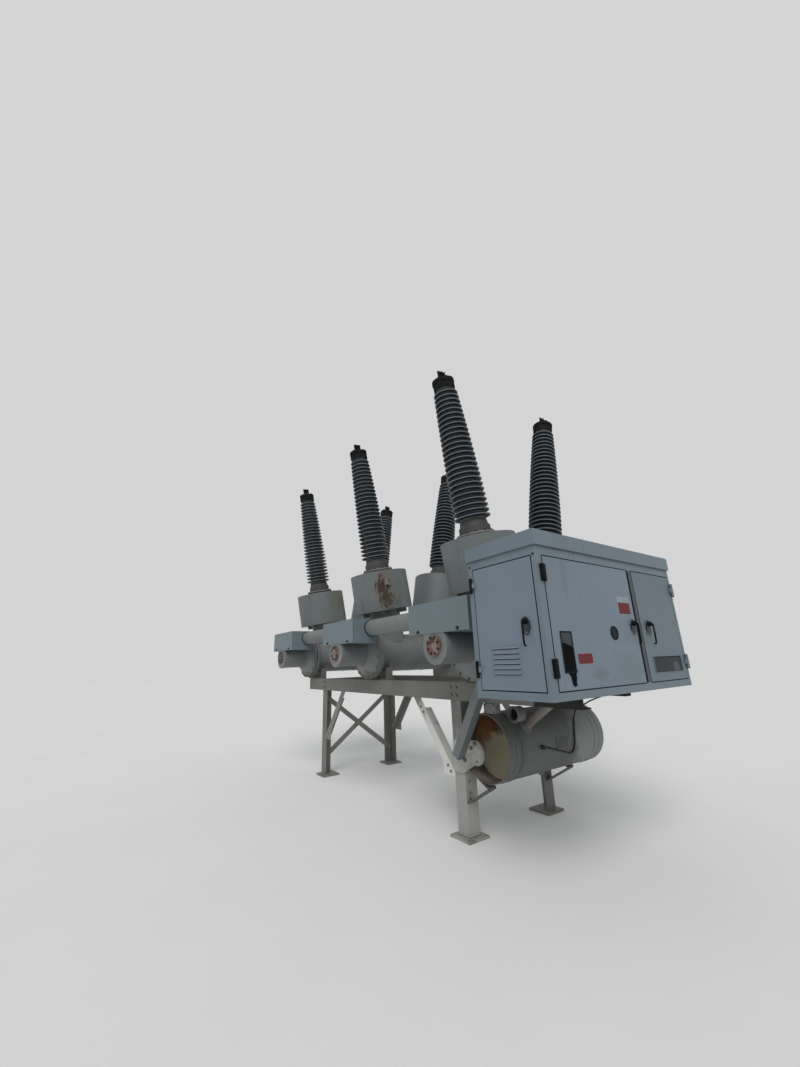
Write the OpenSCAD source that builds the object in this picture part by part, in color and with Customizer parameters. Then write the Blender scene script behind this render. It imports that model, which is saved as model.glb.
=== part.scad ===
// Three-pole dead-tank circuit breaker for an outdoor substation.
// X runs along the row of poles towards the control cabinet, -Y is the side
// with the link boxes, and the feet stand on Z = 0.

/* [Row of poles] */
// Distance from one pole to the next
pole_pitch = 1750; // [1600:10:1900]
// Height of the tank axis above the feet
tank_axis_h = 1530; // [1500:5:1560]
// Outer radius of a tank
tank_r = 215; // [190:5:230]
// Half the length of a tank, over its end flanges
tank_half_len = 655; // [620:5:700]
// Radius of the bolted tank flanges
tank_flange_r = 285; // [270:5:290]
// Thickness of a tank's own end flange
tank_flange_t = 40; // [25:1:45]
// Thickness of the gasket between two flanges
gasket_t = 3; // [2:0.5:6]

/* [Drive cylinders] */
// Thickness of the drive cylinder's flange
drive_flange_t = 40; // [30:1:70]
// Length of the cone behind the drive cylinder
drive_cone_len = 62; // [50:1:80]
// Step from the flange's edge in to the foot of that cone
drive_cone_in = 23; // [15:1:40]
// Radius of the drive cylinder
drive_r = 143; // [120:1:150]
// Length of the drive cylinder
drive_len = 290; // [250:5:300]
// Length of the wider ring at the front of the drive cylinder
drive_ring_len = 40; // [20:1:60]
// How far that ring stands proud of the cylinder
drive_ring_lip = 6; // [3:1:12]
// Radius of the bolted disc on the front of the ring
drive_disc_r = 82; // [60:1:100]
// Thickness of that disc
drive_disc_t = 20; // [12:1:30]
// Depth of the dished cover on the back of a tank
rear_dish_depth = 80; // [60:5:110]
// Radius of that dish where it leaves its flange
rear_dish_r = 240; // [220:5:255]

/* [Link boxes] */
// Width of a link box along the row
box_w = 742; // [660:2:780]
// Height of a link box
box_h = 250; // [220:5:270]
// Depth of a link box behind its cover
box_d = 315; // [280:5:330]
// How far a box sits off its pole, towards the cabinet
box_shift = 40; // [0:5:60]
// Height of a box's underside above the tank axis
box_rise = 95; // [90:1:105]
// Thickness of the cover plate on the front of a box
box_cover_t = 5; // [3:1:8]
// Radius of the pipes between the boxes
link_pipe_r = 85; // [60:1:90]
// Distance from the cover's back to the pipe's axis
link_pipe_back = 225; // [200:5:228]
// Height of the pipe's axis above the box's underside
link_pipe_rise = 155; // [140:1:158]
// Thickness of the gasket ring at each end of a pipe
ring_t = 12; // [6:1:20]
// How far the gasket ring stands proud of the pipe
ring_lip = 7; // [3:1:12]

/* [Bushings] */
// Lean of each bushing away from the middle, in degrees
bushing_lean = 10; // [8:0.5:12]
// Distance from the middle to where a bushing axis meets the level of the tank axis
bushing_foot_y = 342; // [330:1:360]
// Radius of the neck that rises from the tank
neck_r = 185; // [160:5:190]
// Distance along the bushing axis from the tank axis to the underside of the transformer can
can_start = 507; // [490:1:530]
// Height of a transformer can
can_h = 460; // [420:5:480]
// Radius of a transformer can
can_r = 350; // [320:5:360]
// Height of the spigot between can and bushing flange
spigot_h = 25; // [15:1:40]
// Radius of that spigot
spigot_r = 150; // [120:5:160]
// Radius of the bushing flange
flange_r = 185; // [170:1:200]
// Thickness of the bushing flange
flange_t = 28; // [20:1:36]
// Radius of the collar on the flange
collar_r = 148; // [140:1:160]
// Height of the collar
collar_h = 72; // [50:1:90]
// Height of the narrower shoulder above the collar
shoulder_h = 65; // [50:1:80]
// Radius at the top of the shoulder
shoulder_r = 124; // [118:1:132]
// Number of sheds on a bushing
shed_count = 26; // [20:1:28]
// Distance from one shed to the next
shed_pitch = 51.5; // [46:0.5:54]
// Radius of the lowest shed
shed_r_low = 175; // [160:1:185]
// Radius of the highest shed
shed_r_top = 122; // [115:1:135]
// Radius of the porcelain body at the bottom
core_r_low = 118; // [100:1:125]
// Radius of the porcelain body at the top
core_r_top = 84; // [70:1:95]
// Thickness of a shed at its rim
shed_rim_t = 9; // [6:1:12]
// How much a shed's top falls from the body to the rim
shed_fall = 15; // [10:1:18]
// Height of the metal cap
cap_h = 110; // [90:1:130]
// Radius of the metal cap
cap_r = 112; // [100:1:120]
// Diameter of the terminal stud
stud_d = 44; // [30:1:50]
// Height of the bare stud under the terminal pad
stud_h = 20; // [12:1:30]
// Side of the square terminal pad
pad_w = 90; // [80:1:100]
// Thickness of the terminal pad
pad_t = 16; // [10:1:20]
// Side of the square of bolt holes in the pad
pad_hole_gap = 44.45; // [40:0.05:50]
// Diameter of the bolt holes in the pad
pad_hole_d = 14.3; // [11:0.1:16]

/* [Steel frame] */
// Distance from the middle to the outer face of a leg, along the row
leg_face_x = 1430; // [1400:2:1440]
// Distance from the middle to the outer face of a leg, across the row
leg_face_y = 570; // [560:1:580]
// Width of each flange of a leg
leg_w = 127; // [100:1:130]
// Thickness of a leg's steel
leg_t = 10; // [8:1:14]
// Height of the beams
beam_h = 152; // [130:1:160]
// Width of a beam's flanges
beam_w = 90; // [70:1:100]
// Thickness of a beam's web and flanges
beam_t = 10; // [8:1:14]
// Distance from the beam's web to the outer face of a leg
beam_proud = 15; // [10:1:20]
// Length of beam past the far pole
beam_past = 120; // [90:5:200]
// Side of a foot plate
foot_w = 230; // [200:5:260]
// Thickness of a foot plate
foot_t = 20; // [15:1:25]
// Distance between the two anchor holes of a foot
anchor_gap = 150; // [130:5:170]
// Diameter of an anchor hole
anchor_d = 27; // [22:1:33]
// Height where a knee brace's upper edge meets the leg
knee_z = 494; // [480:2:520]
// Slope of the knee braces, in degrees
knee_slope = 52; // [50:0.5:54]
// Width of each flange of the knee braces
knee_w = 80; // [60:1:90]
// Thickness of the knee braces' steel
knee_t = 8; // [6:1:10]
// Distance from a knee brace's upper flange to the beam's underside
knee_short = 90; // [60:5:100]
// Reach of the plate at the foot of a knee brace, from the leg's inner edge
knee_plate_w = 142; // [130:2:160]
// How far that plate hangs below the point where brace and leg meet
knee_plate_drop = 38; // [30:1:45]
// How far that plate laps onto the leg
knee_lap = 7; // [5:1:9]
// Width of each flange of the outer brace at the near front leg
outer_brace_w = 76; // [60:1:90]
// Thickness of the outer brace's steel
outer_brace_t = 8; // [6:1:10]
// Slope of the outer brace, in degrees
outer_brace_slope = 58.5; // [56:0.5:62]
// Height where the outer brace starts
outer_brace_z = 610; // [590:5:640]
// Radius of the joint plate's rounded lobe
lobe_r = 95; // [85:1:100]
// Distance from the leg's face to the middle of that lobe
lobe_x = 160; // [150:1:170]
// Height of the middle of that lobe
lobe_z = 672; // [650:1:690]
// Width of the crossed end braces
cross_w = 64; // [50:1:76]
// Height of the low ends of the crossed end braces
end_brace_low = 200; // [150:5:300]
// Distance from the beam's underside down to their high ends
end_brace_drop = 86; // [70:2:100]
// Distance from the legs' outer faces in to their ends
end_brace_in = 34; // [30:1:45]
// Height of the tanks' undersides above the beams
saddle_rise = 92; // [80:1:100]
// Half the width of a tank saddle
saddle_half_w = 235; // [215:5:240]
// Distance from the middle to the saddle's plate
saddle_y = 500; // [490:1:510]
// Thickness of the saddle's plates
saddle_t = 14; // [10:1:18]
// Depth of the saddle's end plates
saddle_depth = 60; // [45:1:70]
// Height of the bearers under the cabinet
bearer_h = 97; // [90:1:110]
// Length of the front one
bearer_len = 400; // [380:5:590]
// Length of the rear one
rear_bearer_len = 110; // [100:5:160]

/* [Control cabinet] */
// Distance from the near pole to the cabinet
cab_gap = 493; // [480:1:520]
// Width of the cabinet along the row
cab_w = 590; // [560:2:640]
// Distance from the middle to the cabinet's front side
cab_front_y = 1144; // [1120:1:1160]
// Height of the cabinet up to the roof's edge
cab_body_h = 919; // [900:1:930]
// Height of the roof's edge
roof_edge_h = 101; // [80:1:110]
// How far the roof stands past the front and the end
roof_past = 15; // [8:1:20]
// Thickness of the cabinet's sheet steel
sheet_t = 4; // [3:0.5:6]
// Depth of a door's folded edges
door_t = 24; // [18:1:30]
// Gap around each door
door_gap = 7; // [6.5:0.5:8]
// Height from the cabinet's underside to the doors
door_sill = 54; // [48:1:60]
// Height of the doors
door_h = 800; // [780:1:810]
// Distance from the cabinet's corner to the side door
side_door_start = 48; // [46:1:52]
// Width of the side door
side_door_w = 504; // [480:1:512]
// Distance from the cabinet's corner to the main door
main_door_start = 68; // [60:1:76]
// Width of the main door
main_door_w = 1001; // [980:1:1020]
// Width of the pillar between the two end doors
pillar_w = 75; // [66:1:84]
// Width of the small door
small_door_w = 585; // [560:1:590]
// Distance from the small door to the cabinet's rear corner
door_end_margin = 35; // [32:1:45]

/* [Door fittings] */
// Height of a hinge
hinge_h = 108; // [80:1:120]
// Height of the lower hinge's foot above the door's bottom edge
hinge_low = 72; // [60:1:90]
// Height of the upper hinge's foot above the door's bottom edge
hinge_high = 638; // [620:1:660]
// Radius of a hinge knuckle
knuckle_r = 10; // [8:0.5:12]
// Radius of the hinge pin
pin_r = 5; // [4:0.5:6]
// Clearance around the hinge pin
pin_gap = 0.08; // [0.05:0.01:0.1]
// Play between the knuckles of a hinge
knuckle_play = 0.6; // [0.4:0.1:1]
// Width of the hinge's leaf on the frame
hinge_leaf = 12; // [11:0.5:13]
// Distance from the door's edge to the hinge axis
hinge_off = 21; // [19:1:24]
// Height of a handle's pivot above the door's bottom edge
handle_z = 406; // [380:2:440]
// Distance from the free edge of the side door to its handle
side_handle_in = 87; // [50:1:110]
// Distance from the free edge of the main door to its handle
main_handle_in = 52; // [40:1:110]
// Distance from the free edge of the small door to its handle
small_handle_in = 95; // [50:1:110]
// Length of a handle below its pivot
handle_len = 150; // [130:1:156]
// Gap between a handle and the plate behind it
handle_gap = 28; // [20:1:36]
// Width of a handle
handle_w = 24; // [18:1:30]
// Thickness of a handle
handle_t = 14; // [10:1:18]
// Width of the plate behind a handle
rose_w = 58; // [40:1:64]
// Height of the plate behind a handle
rose_h = 108; // [96:2:130]
// How far that plate stands up past the pivot
rose_up = 28; // [20:1:34]
// Thickness of the plate behind a handle
rose_t = 6; // [4:1:8]

/* [Air receiver] */
// Radius of the receiver
rec_r = 262; // [250:1:263]
// Gap between the receiver's shell and the legs' outer faces
rec_gap = 1; // [0.5:0.5:10]
// Height of the receiver's axis above the feet
rec_h = 722; // [710:1:730]
// Distance from the middle to the receiver's front rim
rec_front_y = 569.5; // [560:0.5:569.5]
// Length of the receiver's shell
rec_len = 1286; // [1260:1:1300]
// Depth of the recess in each end of the shell
rec_recess = 144; // [80:1:190]
// How much the heads are dished inwards
rec_dish = 60; // [40:1:80]
// Thickness of the receiver's plate
rec_t = 8; // [6:1:10]
// Slope of the bracket under the receiver, in degrees
bracket_slope = 27; // [24:1:30]
// Width of the bracket across the row
bracket_w = 90; // [70:1:110]
// Thickness of the bracket's strips
bracket_t = 10; // [8:1:12]
// Reach of the bracket past the point where it bears
bracket_reach = 132; // [110:1:150]
// Height where the bracket's strut meets the leg
bracket_foot = 276; // [240:2:300]
// Outside diameter of the hose
hose_d = 12; // [10:1:20]
// Distance from the middle to the hose's upper end
hose_y = 400; // [380:5:420]
// Radius of the valve's drum
valve_r = 60; // [50:1:66]
// Length of the valve's drum
valve_w = 90; // [70:1:96]
// Radius of the pipe from the receiver up to the cabinet
feed_r = 34; // [28:1:36]
// Radius of that pipe's bend under the cabinet
feed_bend = 75; // [60:1:85]

/* [Hidden] */
$fn = 96;
CLEAR = 0.3;
POLES = [-1, 0, 1];
SIDES = [-1, 1];

beam_top = tank_axis_h - tank_r - saddle_rise;
beam_bottom = beam_top - beam_h;
beam_web_y = leg_face_y + beam_proud;
leg_x = leg_face_x - leg_w / 2;
near_x = pole_pitch;
cab_x0 = near_x + cab_gap;
cab_x1 = cab_x0 + cab_w;
cab_y0 = -cab_front_y;
cab_len = main_door_start + main_door_w + pillar_w + small_door_w + door_end_margin;
cab_y1 = cab_y0 + cab_len;
cab_floor_h = beam_bottom + bearer_h;
cab_top = cab_floor_h + cab_body_h;
roof_top = cab_top + roof_edge_h;
door_z0 = cab_floor_h + door_sill;
drive_front_y = -tank_half_len - gasket_t - drive_flange_t - drive_cone_len - drive_len - drive_ring_len;
box_front_y = drive_front_y;
box_z0 = tank_axis_h + box_rise;
pipe_y = box_front_y + link_pipe_back;
pipe_z = box_z0 + link_pipe_rise;
flange_s = can_start + can_h + spigot_h;
collar_s = flange_s + flange_t;
shoulder_s = collar_s + collar_h;
porcelain_s = shoulder_s + shoulder_h;
first_shed_s = porcelain_s + 30;
cap_s = first_shed_s + (shed_count - 1) * shed_pitch + 40;
stud_s = cap_s + cap_h;
pad_s = stud_s + stud_h;
rec_x = leg_face_x + rec_gap + rec_r;
hinge_proud = knuckle_r + 2;
main_door_u = main_door_start;
small_door_u = main_door_start + main_door_w + pillar_w;

// Hose points from the cabinet's floor to the fitting on the receiver, hu to the millimetre.
hu = hose_y / 400;
hose_r = rec_r + hose_d / 2 + 2;
function round_shell(y, a) = [rec_x + hose_r * cos(a), y * hu, rec_h + hose_r * sin(a)];
function below_floor(x, y, z) = [cab_x0 + x * hu, y * hu, cab_floor_h - CLEAR - z * hu];
HOSE = [
    below_floor(47, 400, 0), below_floor(46, 400, 30), below_floor(25, 397, 62),
    below_floor(-25, 394, 86), below_floor(-90, 390, 108), below_floor(-165, 386, 138),
    below_floor(-245, 382, 180), [rec_x + 232 * hu, 378 * hu, rec_h + 222 * hu],
    round_shell(358, 36), round_shell(326, 28), round_shell(292, 19.5), round_shell(268, 10),
    round_shell(256, 1), round_shell(251, -8), round_shell(243, -17), round_shell(222, -22),
    round_shell(185, -22.3), round_shell(135, -19.3), round_shell(62, -15), round_shell(-20, -10.2),
    round_shell(-95, -5.8), round_shell(-145, -3.1), round_shell(-177, -1.5)
];
PORT_Y = -195 * hu;
PORT_A = -1.5;
VALVE_Y = -399 * hu;
VALVE_A = 50;
VALVE_STEM = 14 * hu;

// Pipe points from the receiver's shell up to the cabinet's floor.
FEED_A = 36;
feed_foot = [rec_x, -300 * hu, rec_h];
feed_out = [cos(FEED_A), 0, sin(FEED_A)];
feed_start = feed_foot + (rec_r + 40 * hu) * feed_out;
feed_head = [cab_x0 + 60 * hu, -400 * hu];
feed_run = [feed_head[0] - feed_start[0], feed_head[1] - feed_start[1]];
feed_span = norm(feed_run);
feed_low = cab_floor_h - 62 * hu - feed_bend * 0.5;
feed_rise = atan((feed_low - feed_start[2]) / (feed_span - feed_bend * 0.5));
function feed_at(t, z) = [feed_start[0] + feed_run[0] * t / feed_span,
    feed_start[1] + feed_run[1] * t / feed_span, z];
feed_bend_z = cab_floor_h - 12 * hu;
FEED = concat(
    [feed_foot + (rec_r + CLEAR) * feed_out, feed_start],
    [for (a = [feed_rise - 90:18:-1]) feed_at(feed_span - feed_bend * (1 - cos(a)),
        feed_bend_z + feed_bend * sin(a))],
    [feed_at(feed_span, feed_bend_z), feed_at(feed_span, cab_floor_h - CLEAR)]
);

// Placing

module at_pole(i) {
    translate([i * pole_pitch, 0, 0]) children();
}

module along_bushing(i, side) {
    translate([i * pole_pitch, side * bushing_foot_y, tank_axis_h])
        rotate([-side * bushing_lean, 0, 0]) children();
}

// Solid of revolution about the tank axis, with the profile's height running to -Y.
module about_tank_axis(i) {
    translate([i * pole_pitch, 0, tank_axis_h]) rotate([90, 0, 0]) children();
}

// The side face of the cabinet: u along it, depth inwards.
module on_side_face() {
    translate([cab_x0, cab_y0, 0]) children();
}

// The end face of the cabinet: u along it, depth inwards.
module on_end_face() {
    translate([cab_x1, cab_y0, 0]) rotate([0, 0, 90]) children();
}

module slab(low, high) {
    translate(low) cube(high - low);
}

// Steel frame

module channel(length, height, flange, t) {
    difference() {
        cube([length, flange, height]);
        translate([-1, t, t]) cube([length + 2, flange, height - 2 * t]);
    }
}

beam_x0 = -pole_pitch - beam_past;
beam_len = cab_x0 - beam_x0;

module beam(side) {
    color("lightgray")
        mirror([0, side > 0 ? 1 : 0, 0])
        translate([beam_x0, -beam_web_y, beam_bottom]) channel(beam_len, beam_h, beam_w, beam_t);
}

module main_beams() {
    for (side = SIDES) beam(side);
}

// Channels across the row, between the lips of the two beams.
module cross_beams() {
    inner = beam_web_y - beam_w;
    color("lightgray")
        for (s = SIDES)
            mirror([s < 0 ? 1 : 0, 0, 0])
            translate([leg_x + beam_w / 2, -inner, beam_bottom]) rotate([0, 0, 90])
            channel(2 * inner, beam_h, beam_w, beam_t);
}

// Channels that carry the cabinet on from the ends of the beams.
module cabinet_bearers() {
    color("lightgray")
        for (s = SIDES)
            mirror([0, s > 0 ? 1 : 0, 0])
            translate([cab_x0, -beam_web_y, beam_bottom])
            channel(s > 0 ? rear_bearer_len : bearer_len, bearer_h, beam_w, beam_t);
}

// An angle with its corner outwards: sx and sy point to the corner.
module leg(sx, sy) {
    h = beam_bottom - foot_t;
    color("lightgray")
        mirror([sx > 0 ? 0 : 1, 0, 0]) mirror([0, sy > 0 ? 0 : 1, 0])
        translate([leg_face_x - leg_w, leg_face_y - leg_w, foot_t])
        difference() {
            cube([leg_w, leg_w, h]);
            translate([-leg_t, -leg_t, -1]) cube([leg_w, leg_w, h + 2]);
        }
}

module legs() {
    for (sx = SIDES) for (sy = SIDES) leg(sx, sy);
}

module foot_plates() {
    color("lightgray")
        for (sx = SIDES) for (sy = SIDES)
            translate([sx * leg_x, sy * (leg_face_y - leg_w / 2), 0])
                difference() {
                    translate([-foot_w / 2, -foot_w / 2, 0]) cube([foot_w, foot_w, foot_t]);
                    for (s = SIDES)
                        translate([s * anchor_gap / 2, 0, -1]) cylinder(d = anchor_d, h = foot_t + 2);
                }
}

// A flat bar between two points of the X-Z plane, from depth y0 to y1.
module bar_xz(a, b, w, y0, y1) {
    d = b - a;
    n = norm(d);
    translate([a[0], y0, a[1]])
        rotate([0, -atan2(d[1], d[0]), 0])
        translate([0, 0, -w / 2]) cube([n, y1 - y0, w]);
}

// Angles from the legs up to the underside of the beams, each with a plate at its foot.
module knee_braces() {
    corner = [leg_face_x - leg_w, knee_z];
    run = [-cos(knee_slope), sin(knee_slope)];
    down = [-sin(knee_slope), -cos(knee_slope)];
    full = (beam_bottom - knee_z) / sin(knee_slope) + knee_w;
    short = (beam_bottom - knee_short - knee_z) / sin(knee_slope);
    front = corner + down * knee_w / 2;
    top = corner + down * knee_t / 2 + run * CLEAR;
    foot_z = knee_z - knee_plate_drop;
    y1 = leg_face_y + knee_t;
    color("gainsboro")
        for (sx = SIDES) for (sy = SIDES)
            mirror([sx > 0 ? 0 : 1, 0, 0]) mirror([0, sy > 0 ? 0 : 1, 0])
            intersection() {
                union() {
                    bar_xz(front - run * knee_w, front + run * full, knee_w, leg_face_y, y1);
                    bar_xz(top, top + run * short, knee_t, y1 - knee_w, y1);
                    translate([0, y1, 0]) rotate([90, 0, 0]) linear_extrude(knee_t) polygon([
                        corner - [knee_plate_w, -knee_plate_w / 2],
                        [corner[0] - knee_plate_w, foot_z], [corner[0] + knee_lap, foot_z],
                        corner + [knee_lap, -2 * knee_lap]
                    ]);
                }
                slab([0, 0, foot_z], [corner[0] + knee_lap, beam_web_y, beam_bottom]);
            }
}

// The plate on the near front leg that joins it to its two braces.
module joint_plate() {
    x0 = leg_face_x - leg_w + knee_lap + 3;
    lobe = [leg_face_x + lobe_x, lobe_z];
    color("gainsboro")
        translate([0, -leg_face_y, 0]) rotate([90, 0, 0]) linear_extrude(beam_proud)
        difference() {
            union() {
                polygon([
                    [x0, knee_z], [leg_face_x - leg_t, knee_z], lobe - lobe_r * [0.19, 0.98],
                    lobe + lobe_r * [0.19, 0.98], [x0, lobe_z + lobe_r * 0.77]
                ]);
                translate(lobe) circle(r = lobe_r);
            }
            translate(lobe + lobe_r * [0.08, -0.66]) circle(r = lobe_r * 0.12);
        }
}

// The outer brace, an angle from the joint plate up to the beam's web.
module outer_brace() {
    y = beam_web_y;
    n = (beam_top - 20 - outer_brace_z) / sin(outer_brace_slope);
    color("gainsboro")
        translate([leg_face_x + 18, -y, outer_brace_z]) rotate([0, -outer_brace_slope, 0])
        difference() {
            translate([0, -outer_brace_w, 0]) cube([n, outer_brace_w, outer_brace_w]);
            translate([-1, -outer_brace_w + outer_brace_t, outer_brace_t])
                cube([n + 2, outer_brace_w, outer_brace_w]);
        }
}

// A bar across the far end, leaning with the given sign.
module end_brace(sign, x0, x1) {
    y = leg_face_y - end_brace_in;
    low = [-sign * y, end_brace_low];
    high = [sign * y, beam_bottom - end_brace_drop];
    color("gainsboro")
        translate([-leg_face_x, 0, 0]) rotate([0, 0, 90]) bar_xz(low, high, cross_w, -x1, -x0);
}

// One bar on the outer faces of the far legs and one on the inner faces.
module end_braces() {
    end_brace(1, -knee_t, 0);
    end_brace(-1, leg_t, leg_t + knee_t);
}

module tank_saddles() {
    base_z = beam_top;
    color("lightgray")
        for (i = POLES) for (sy = SIDES)
            at_pole(i) mirror([0, sy > 0 ? 1 : 0, 0])
            difference() {
                union() {
                    slab([-saddle_half_w, -saddle_y, base_z],
                        [saddle_half_w, -saddle_y + saddle_t, tank_axis_h - 110]);
                    for (s = SIDES)
                        translate([s * (saddle_half_w - saddle_t / 2), 0, 0])
                            slab([-saddle_t / 2, -saddle_y - saddle_depth, base_z],
                                [saddle_t / 2, -saddle_y + saddle_t, tank_axis_h - 170]);
                    slab([-saddle_half_w, -saddle_y - saddle_depth, base_z],
                        [saddle_half_w, -saddle_y + saddle_t, base_z + saddle_t]);
                }
                translate([0, 0, tank_axis_h]) rotate([90, 0, 0])
                    cylinder(r = tank_r + CLEAR, h = 4 * tank_half_len, center = true);
            }
}

// Tanks

module tank(i) {
    color("silver")
        about_tank_axis(i) rotate_extrude()
        polygon([
            [0, -tank_half_len], [tank_flange_r, -tank_half_len],
            [tank_flange_r, -tank_half_len + tank_flange_t], [tank_r, -tank_half_len + tank_flange_t],
            [tank_r, tank_half_len - tank_flange_t], [tank_flange_r, tank_half_len - tank_flange_t],
            [tank_flange_r, tank_half_len], [0, tank_half_len]
        ]);
}

module tanks() {
    for (i = POLES) tank(i);
}

module drive_cylinders() {
    s0 = tank_half_len + gasket_t;
    s1 = s0 + drive_flange_t;
    s2 = s1 + drive_cone_len;
    s3 = s2 + drive_len;
    s4 = s3 + drive_ring_len;
    color("silver")
        for (i = POLES) about_tank_axis(i) rotate_extrude()
        polygon([
            [0, s0], [tank_flange_r, s0], [tank_flange_r, s1],
            [tank_flange_r - drive_cone_in, s1], [drive_r + drive_ring_lip, s2],
            [drive_r, s2], [drive_r, s3],
            [drive_r + drive_ring_lip, s3], [drive_r + drive_ring_lip, s4], [0, s4]
        ]);
}

module drive_discs() {
    color("indianred")
        for (i = POLES) about_tank_axis(i)
        translate([0, 0, -drive_front_y]) cylinder(r = drive_disc_r, h = drive_disc_t);
}

module rear_covers() {
    s0 = tank_half_len + gasket_t;
    s1 = s0 + drive_flange_t;
    arc = [for (a = [0:15:90]) [rear_dish_r * cos(a), s1 + rear_dish_depth * sin(a)]];
    color("silver")
        for (i = POLES) about_tank_axis(i) mirror([0, 0, 1]) rotate_extrude()
        polygon(concat([[0, s0], [tank_flange_r, s0], [tank_flange_r, s1]], arc));
}

module flange_gaskets() {
    color("goldenrod")
        for (i = POLES) for (s = SIDES)
            about_tank_axis(i)
            translate([0, 0, s > 0 ? tank_half_len : -tank_half_len - gasket_t])
            cylinder(r = tank_flange_r - 4, h = gasket_t);
}

// Link boxes

module link_boxes() {
    color("lightsteelblue")
        for (i = POLES) difference() {
            at_pole(i) slab([box_shift - box_w / 2, box_front_y, box_z0],
                [box_shift + box_w / 2, box_front_y + box_d, box_z0 + box_h]);
            about_tank_axis(i) cylinder(r = drive_r + drive_ring_lip + CLEAR, h = -drive_front_y + 1);
        }
}

module box_covers() {
    color("lightsteelblue")
        for (i = POLES) at_pole(i)
            slab([box_shift - box_w / 2, box_front_y - box_cover_t, box_z0],
                [box_shift + box_w / 2, box_front_y, box_z0 + box_h]);
}

module link_pipes() {
    reach = pole_pitch - box_w - 2 * ring_t;
    color("silver") {
        for (i = [-1, 0])
            translate([i * pole_pitch + box_shift + box_w / 2 + ring_t, pipe_y, pipe_z])
                rotate([0, 90, 0]) cylinder(r = link_pipe_r, h = reach);
        translate([near_x + box_shift + box_w / 2 + ring_t, pipe_y, pipe_z])
            rotate([0, 90, 0]) cylinder(r = link_pipe_r, h = cab_gap - box_shift - box_w / 2 - 2 * ring_t);
    }
}

module pipe_gaskets() {
    r = link_pipe_r + ring_lip;
    color("black") {
        for (i = POLES)
            translate([i * pole_pitch + box_shift + box_w / 2, pipe_y, pipe_z])
                rotate([0, 90, 0]) cylinder(r = r, h = ring_t);
        for (i = [0, 1])
            translate([i * pole_pitch + box_shift - box_w / 2 - ring_t, pipe_y, pipe_z])
                rotate([0, 90, 0]) cylinder(r = r, h = ring_t);
        translate([cab_x0 - ring_t, pipe_y, pipe_z]) rotate([0, 90, 0]) cylinder(r = r, h = ring_t);
    }
}

// Bushings

module bushing_necks() {
    color("silver")
        for (i = POLES) for (side = SIDES) difference() {
            along_bushing(i, side) cylinder(r = neck_r, h = can_start);
            about_tank_axis(i) cylinder(r = tank_r + CLEAR, h = 4 * tank_half_len, center = true);
        }
}

module transformer_cans() {
    color("silver")
        for (i = POLES) for (side = SIDES) along_bushing(i, side)
            translate([0, 0, can_start]) cylinder(r = can_r, h = can_h);
}

module bushing_flanges() {
    color("silver")
        for (i = POLES) for (side = SIDES) along_bushing(i, side) rotate_extrude()
            polygon([
                [0, can_start + can_h], [spigot_r, can_start + can_h], [spigot_r, flange_s],
                [flange_r, flange_s], [flange_r, collar_s], [collar_r, collar_s],
                [collar_r, shoulder_s], [collar_r - 12, shoulder_s], [shoulder_r, porcelain_s],
                [0, porcelain_s]
            ]);
}

// Radius of shed k and of the body beside it.
function shed_r(k) = shed_r_low - (shed_r_low - shed_r_top) * pow(k / (shed_count - 1), 1.5);
function core_r(k) = core_r_low - (core_r_low - core_r_top) * k / (shed_count - 1);

module porcelain(i, side) {
    sheds = [for (k = [0:shed_count - 1]) let (s = first_shed_s + k * shed_pitch)
        each [
            [core_r(k), s - shed_rim_t], [shed_r(k), s - shed_rim_t],
            [shed_r(k), s], [core_r(k), s + shed_fall]
        ]];
    color("gray")
        along_bushing(i, side) rotate_extrude()
        polygon(concat([[0, porcelain_s], [core_r_low, porcelain_s]], sheds,
            [[core_r_top, cap_s], [0, cap_s]]));
}

module porcelain_row(side) {
    for (i = POLES) porcelain(i, side);
}

module bushing_caps() {
    color("dimgray")
        for (i = POLES) for (side = SIDES) along_bushing(i, side) rotate_extrude()
            polygon([
                [0, cap_s], [cap_r - 8, cap_s], [cap_r - 8, cap_s + cap_h - 35],
                [cap_r, cap_s + cap_h - 35], [cap_r, cap_s + cap_h], [0, cap_s + cap_h]
            ]);
}

module terminals() {
    color("dimgray")
        for (i = POLES) for (side = SIDES) along_bushing(i, side) {
            translate([0, 0, stud_s]) cylinder(d = stud_d, h = stud_h);
            difference() {
                translate([-pad_t / 2, -pad_w / 2, pad_s]) cube([pad_t, pad_w, pad_w]);
                for (a = SIDES) for (b = SIDES)
                    translate([0, a * pad_hole_gap / 2, pad_s + pad_w / 2 + b * pad_hole_gap / 2])
                        rotate([0, 90, 0]) cylinder(d = pad_hole_d, h = pad_t + 2, center = true);
            }
        }
}

// Control cabinet

module cabinet_floor() {
    color("lightsteelblue")
        slab([cab_x0, cab_y0, cab_floor_h], [cab_x1, cab_y1, cab_floor_h + sheet_t]);
}

module cabinet_inner_wall() {
    color("lightsteelblue")
        slab([cab_x0, cab_y0 + sheet_t, cab_floor_h + sheet_t],
            [cab_x0 + sheet_t, cab_y1 - sheet_t, roof_top - sheet_t]);
}

module cabinet_rear_wall() {
    color("lightsteelblue")
        slab([cab_x0, cab_y1 - sheet_t, cab_floor_h + sheet_t], [cab_x1, cab_y1, roof_top - sheet_t]);
}

// Opening for a door, with the gap around it.
module doorway(u, w) {
    slab([u - door_gap, -1, door_z0 - door_gap],
        [u + w + door_gap, sheet_t + 1, door_z0 + door_h + door_gap]);
}

module cabinet_side_frame() {
    color("lightsteelblue")
        on_side_face() difference() {
            slab([0, 0, cab_floor_h + sheet_t], [cab_w, sheet_t, roof_top - sheet_t]);
            doorway(side_door_start, side_door_w);
        }
}

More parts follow.
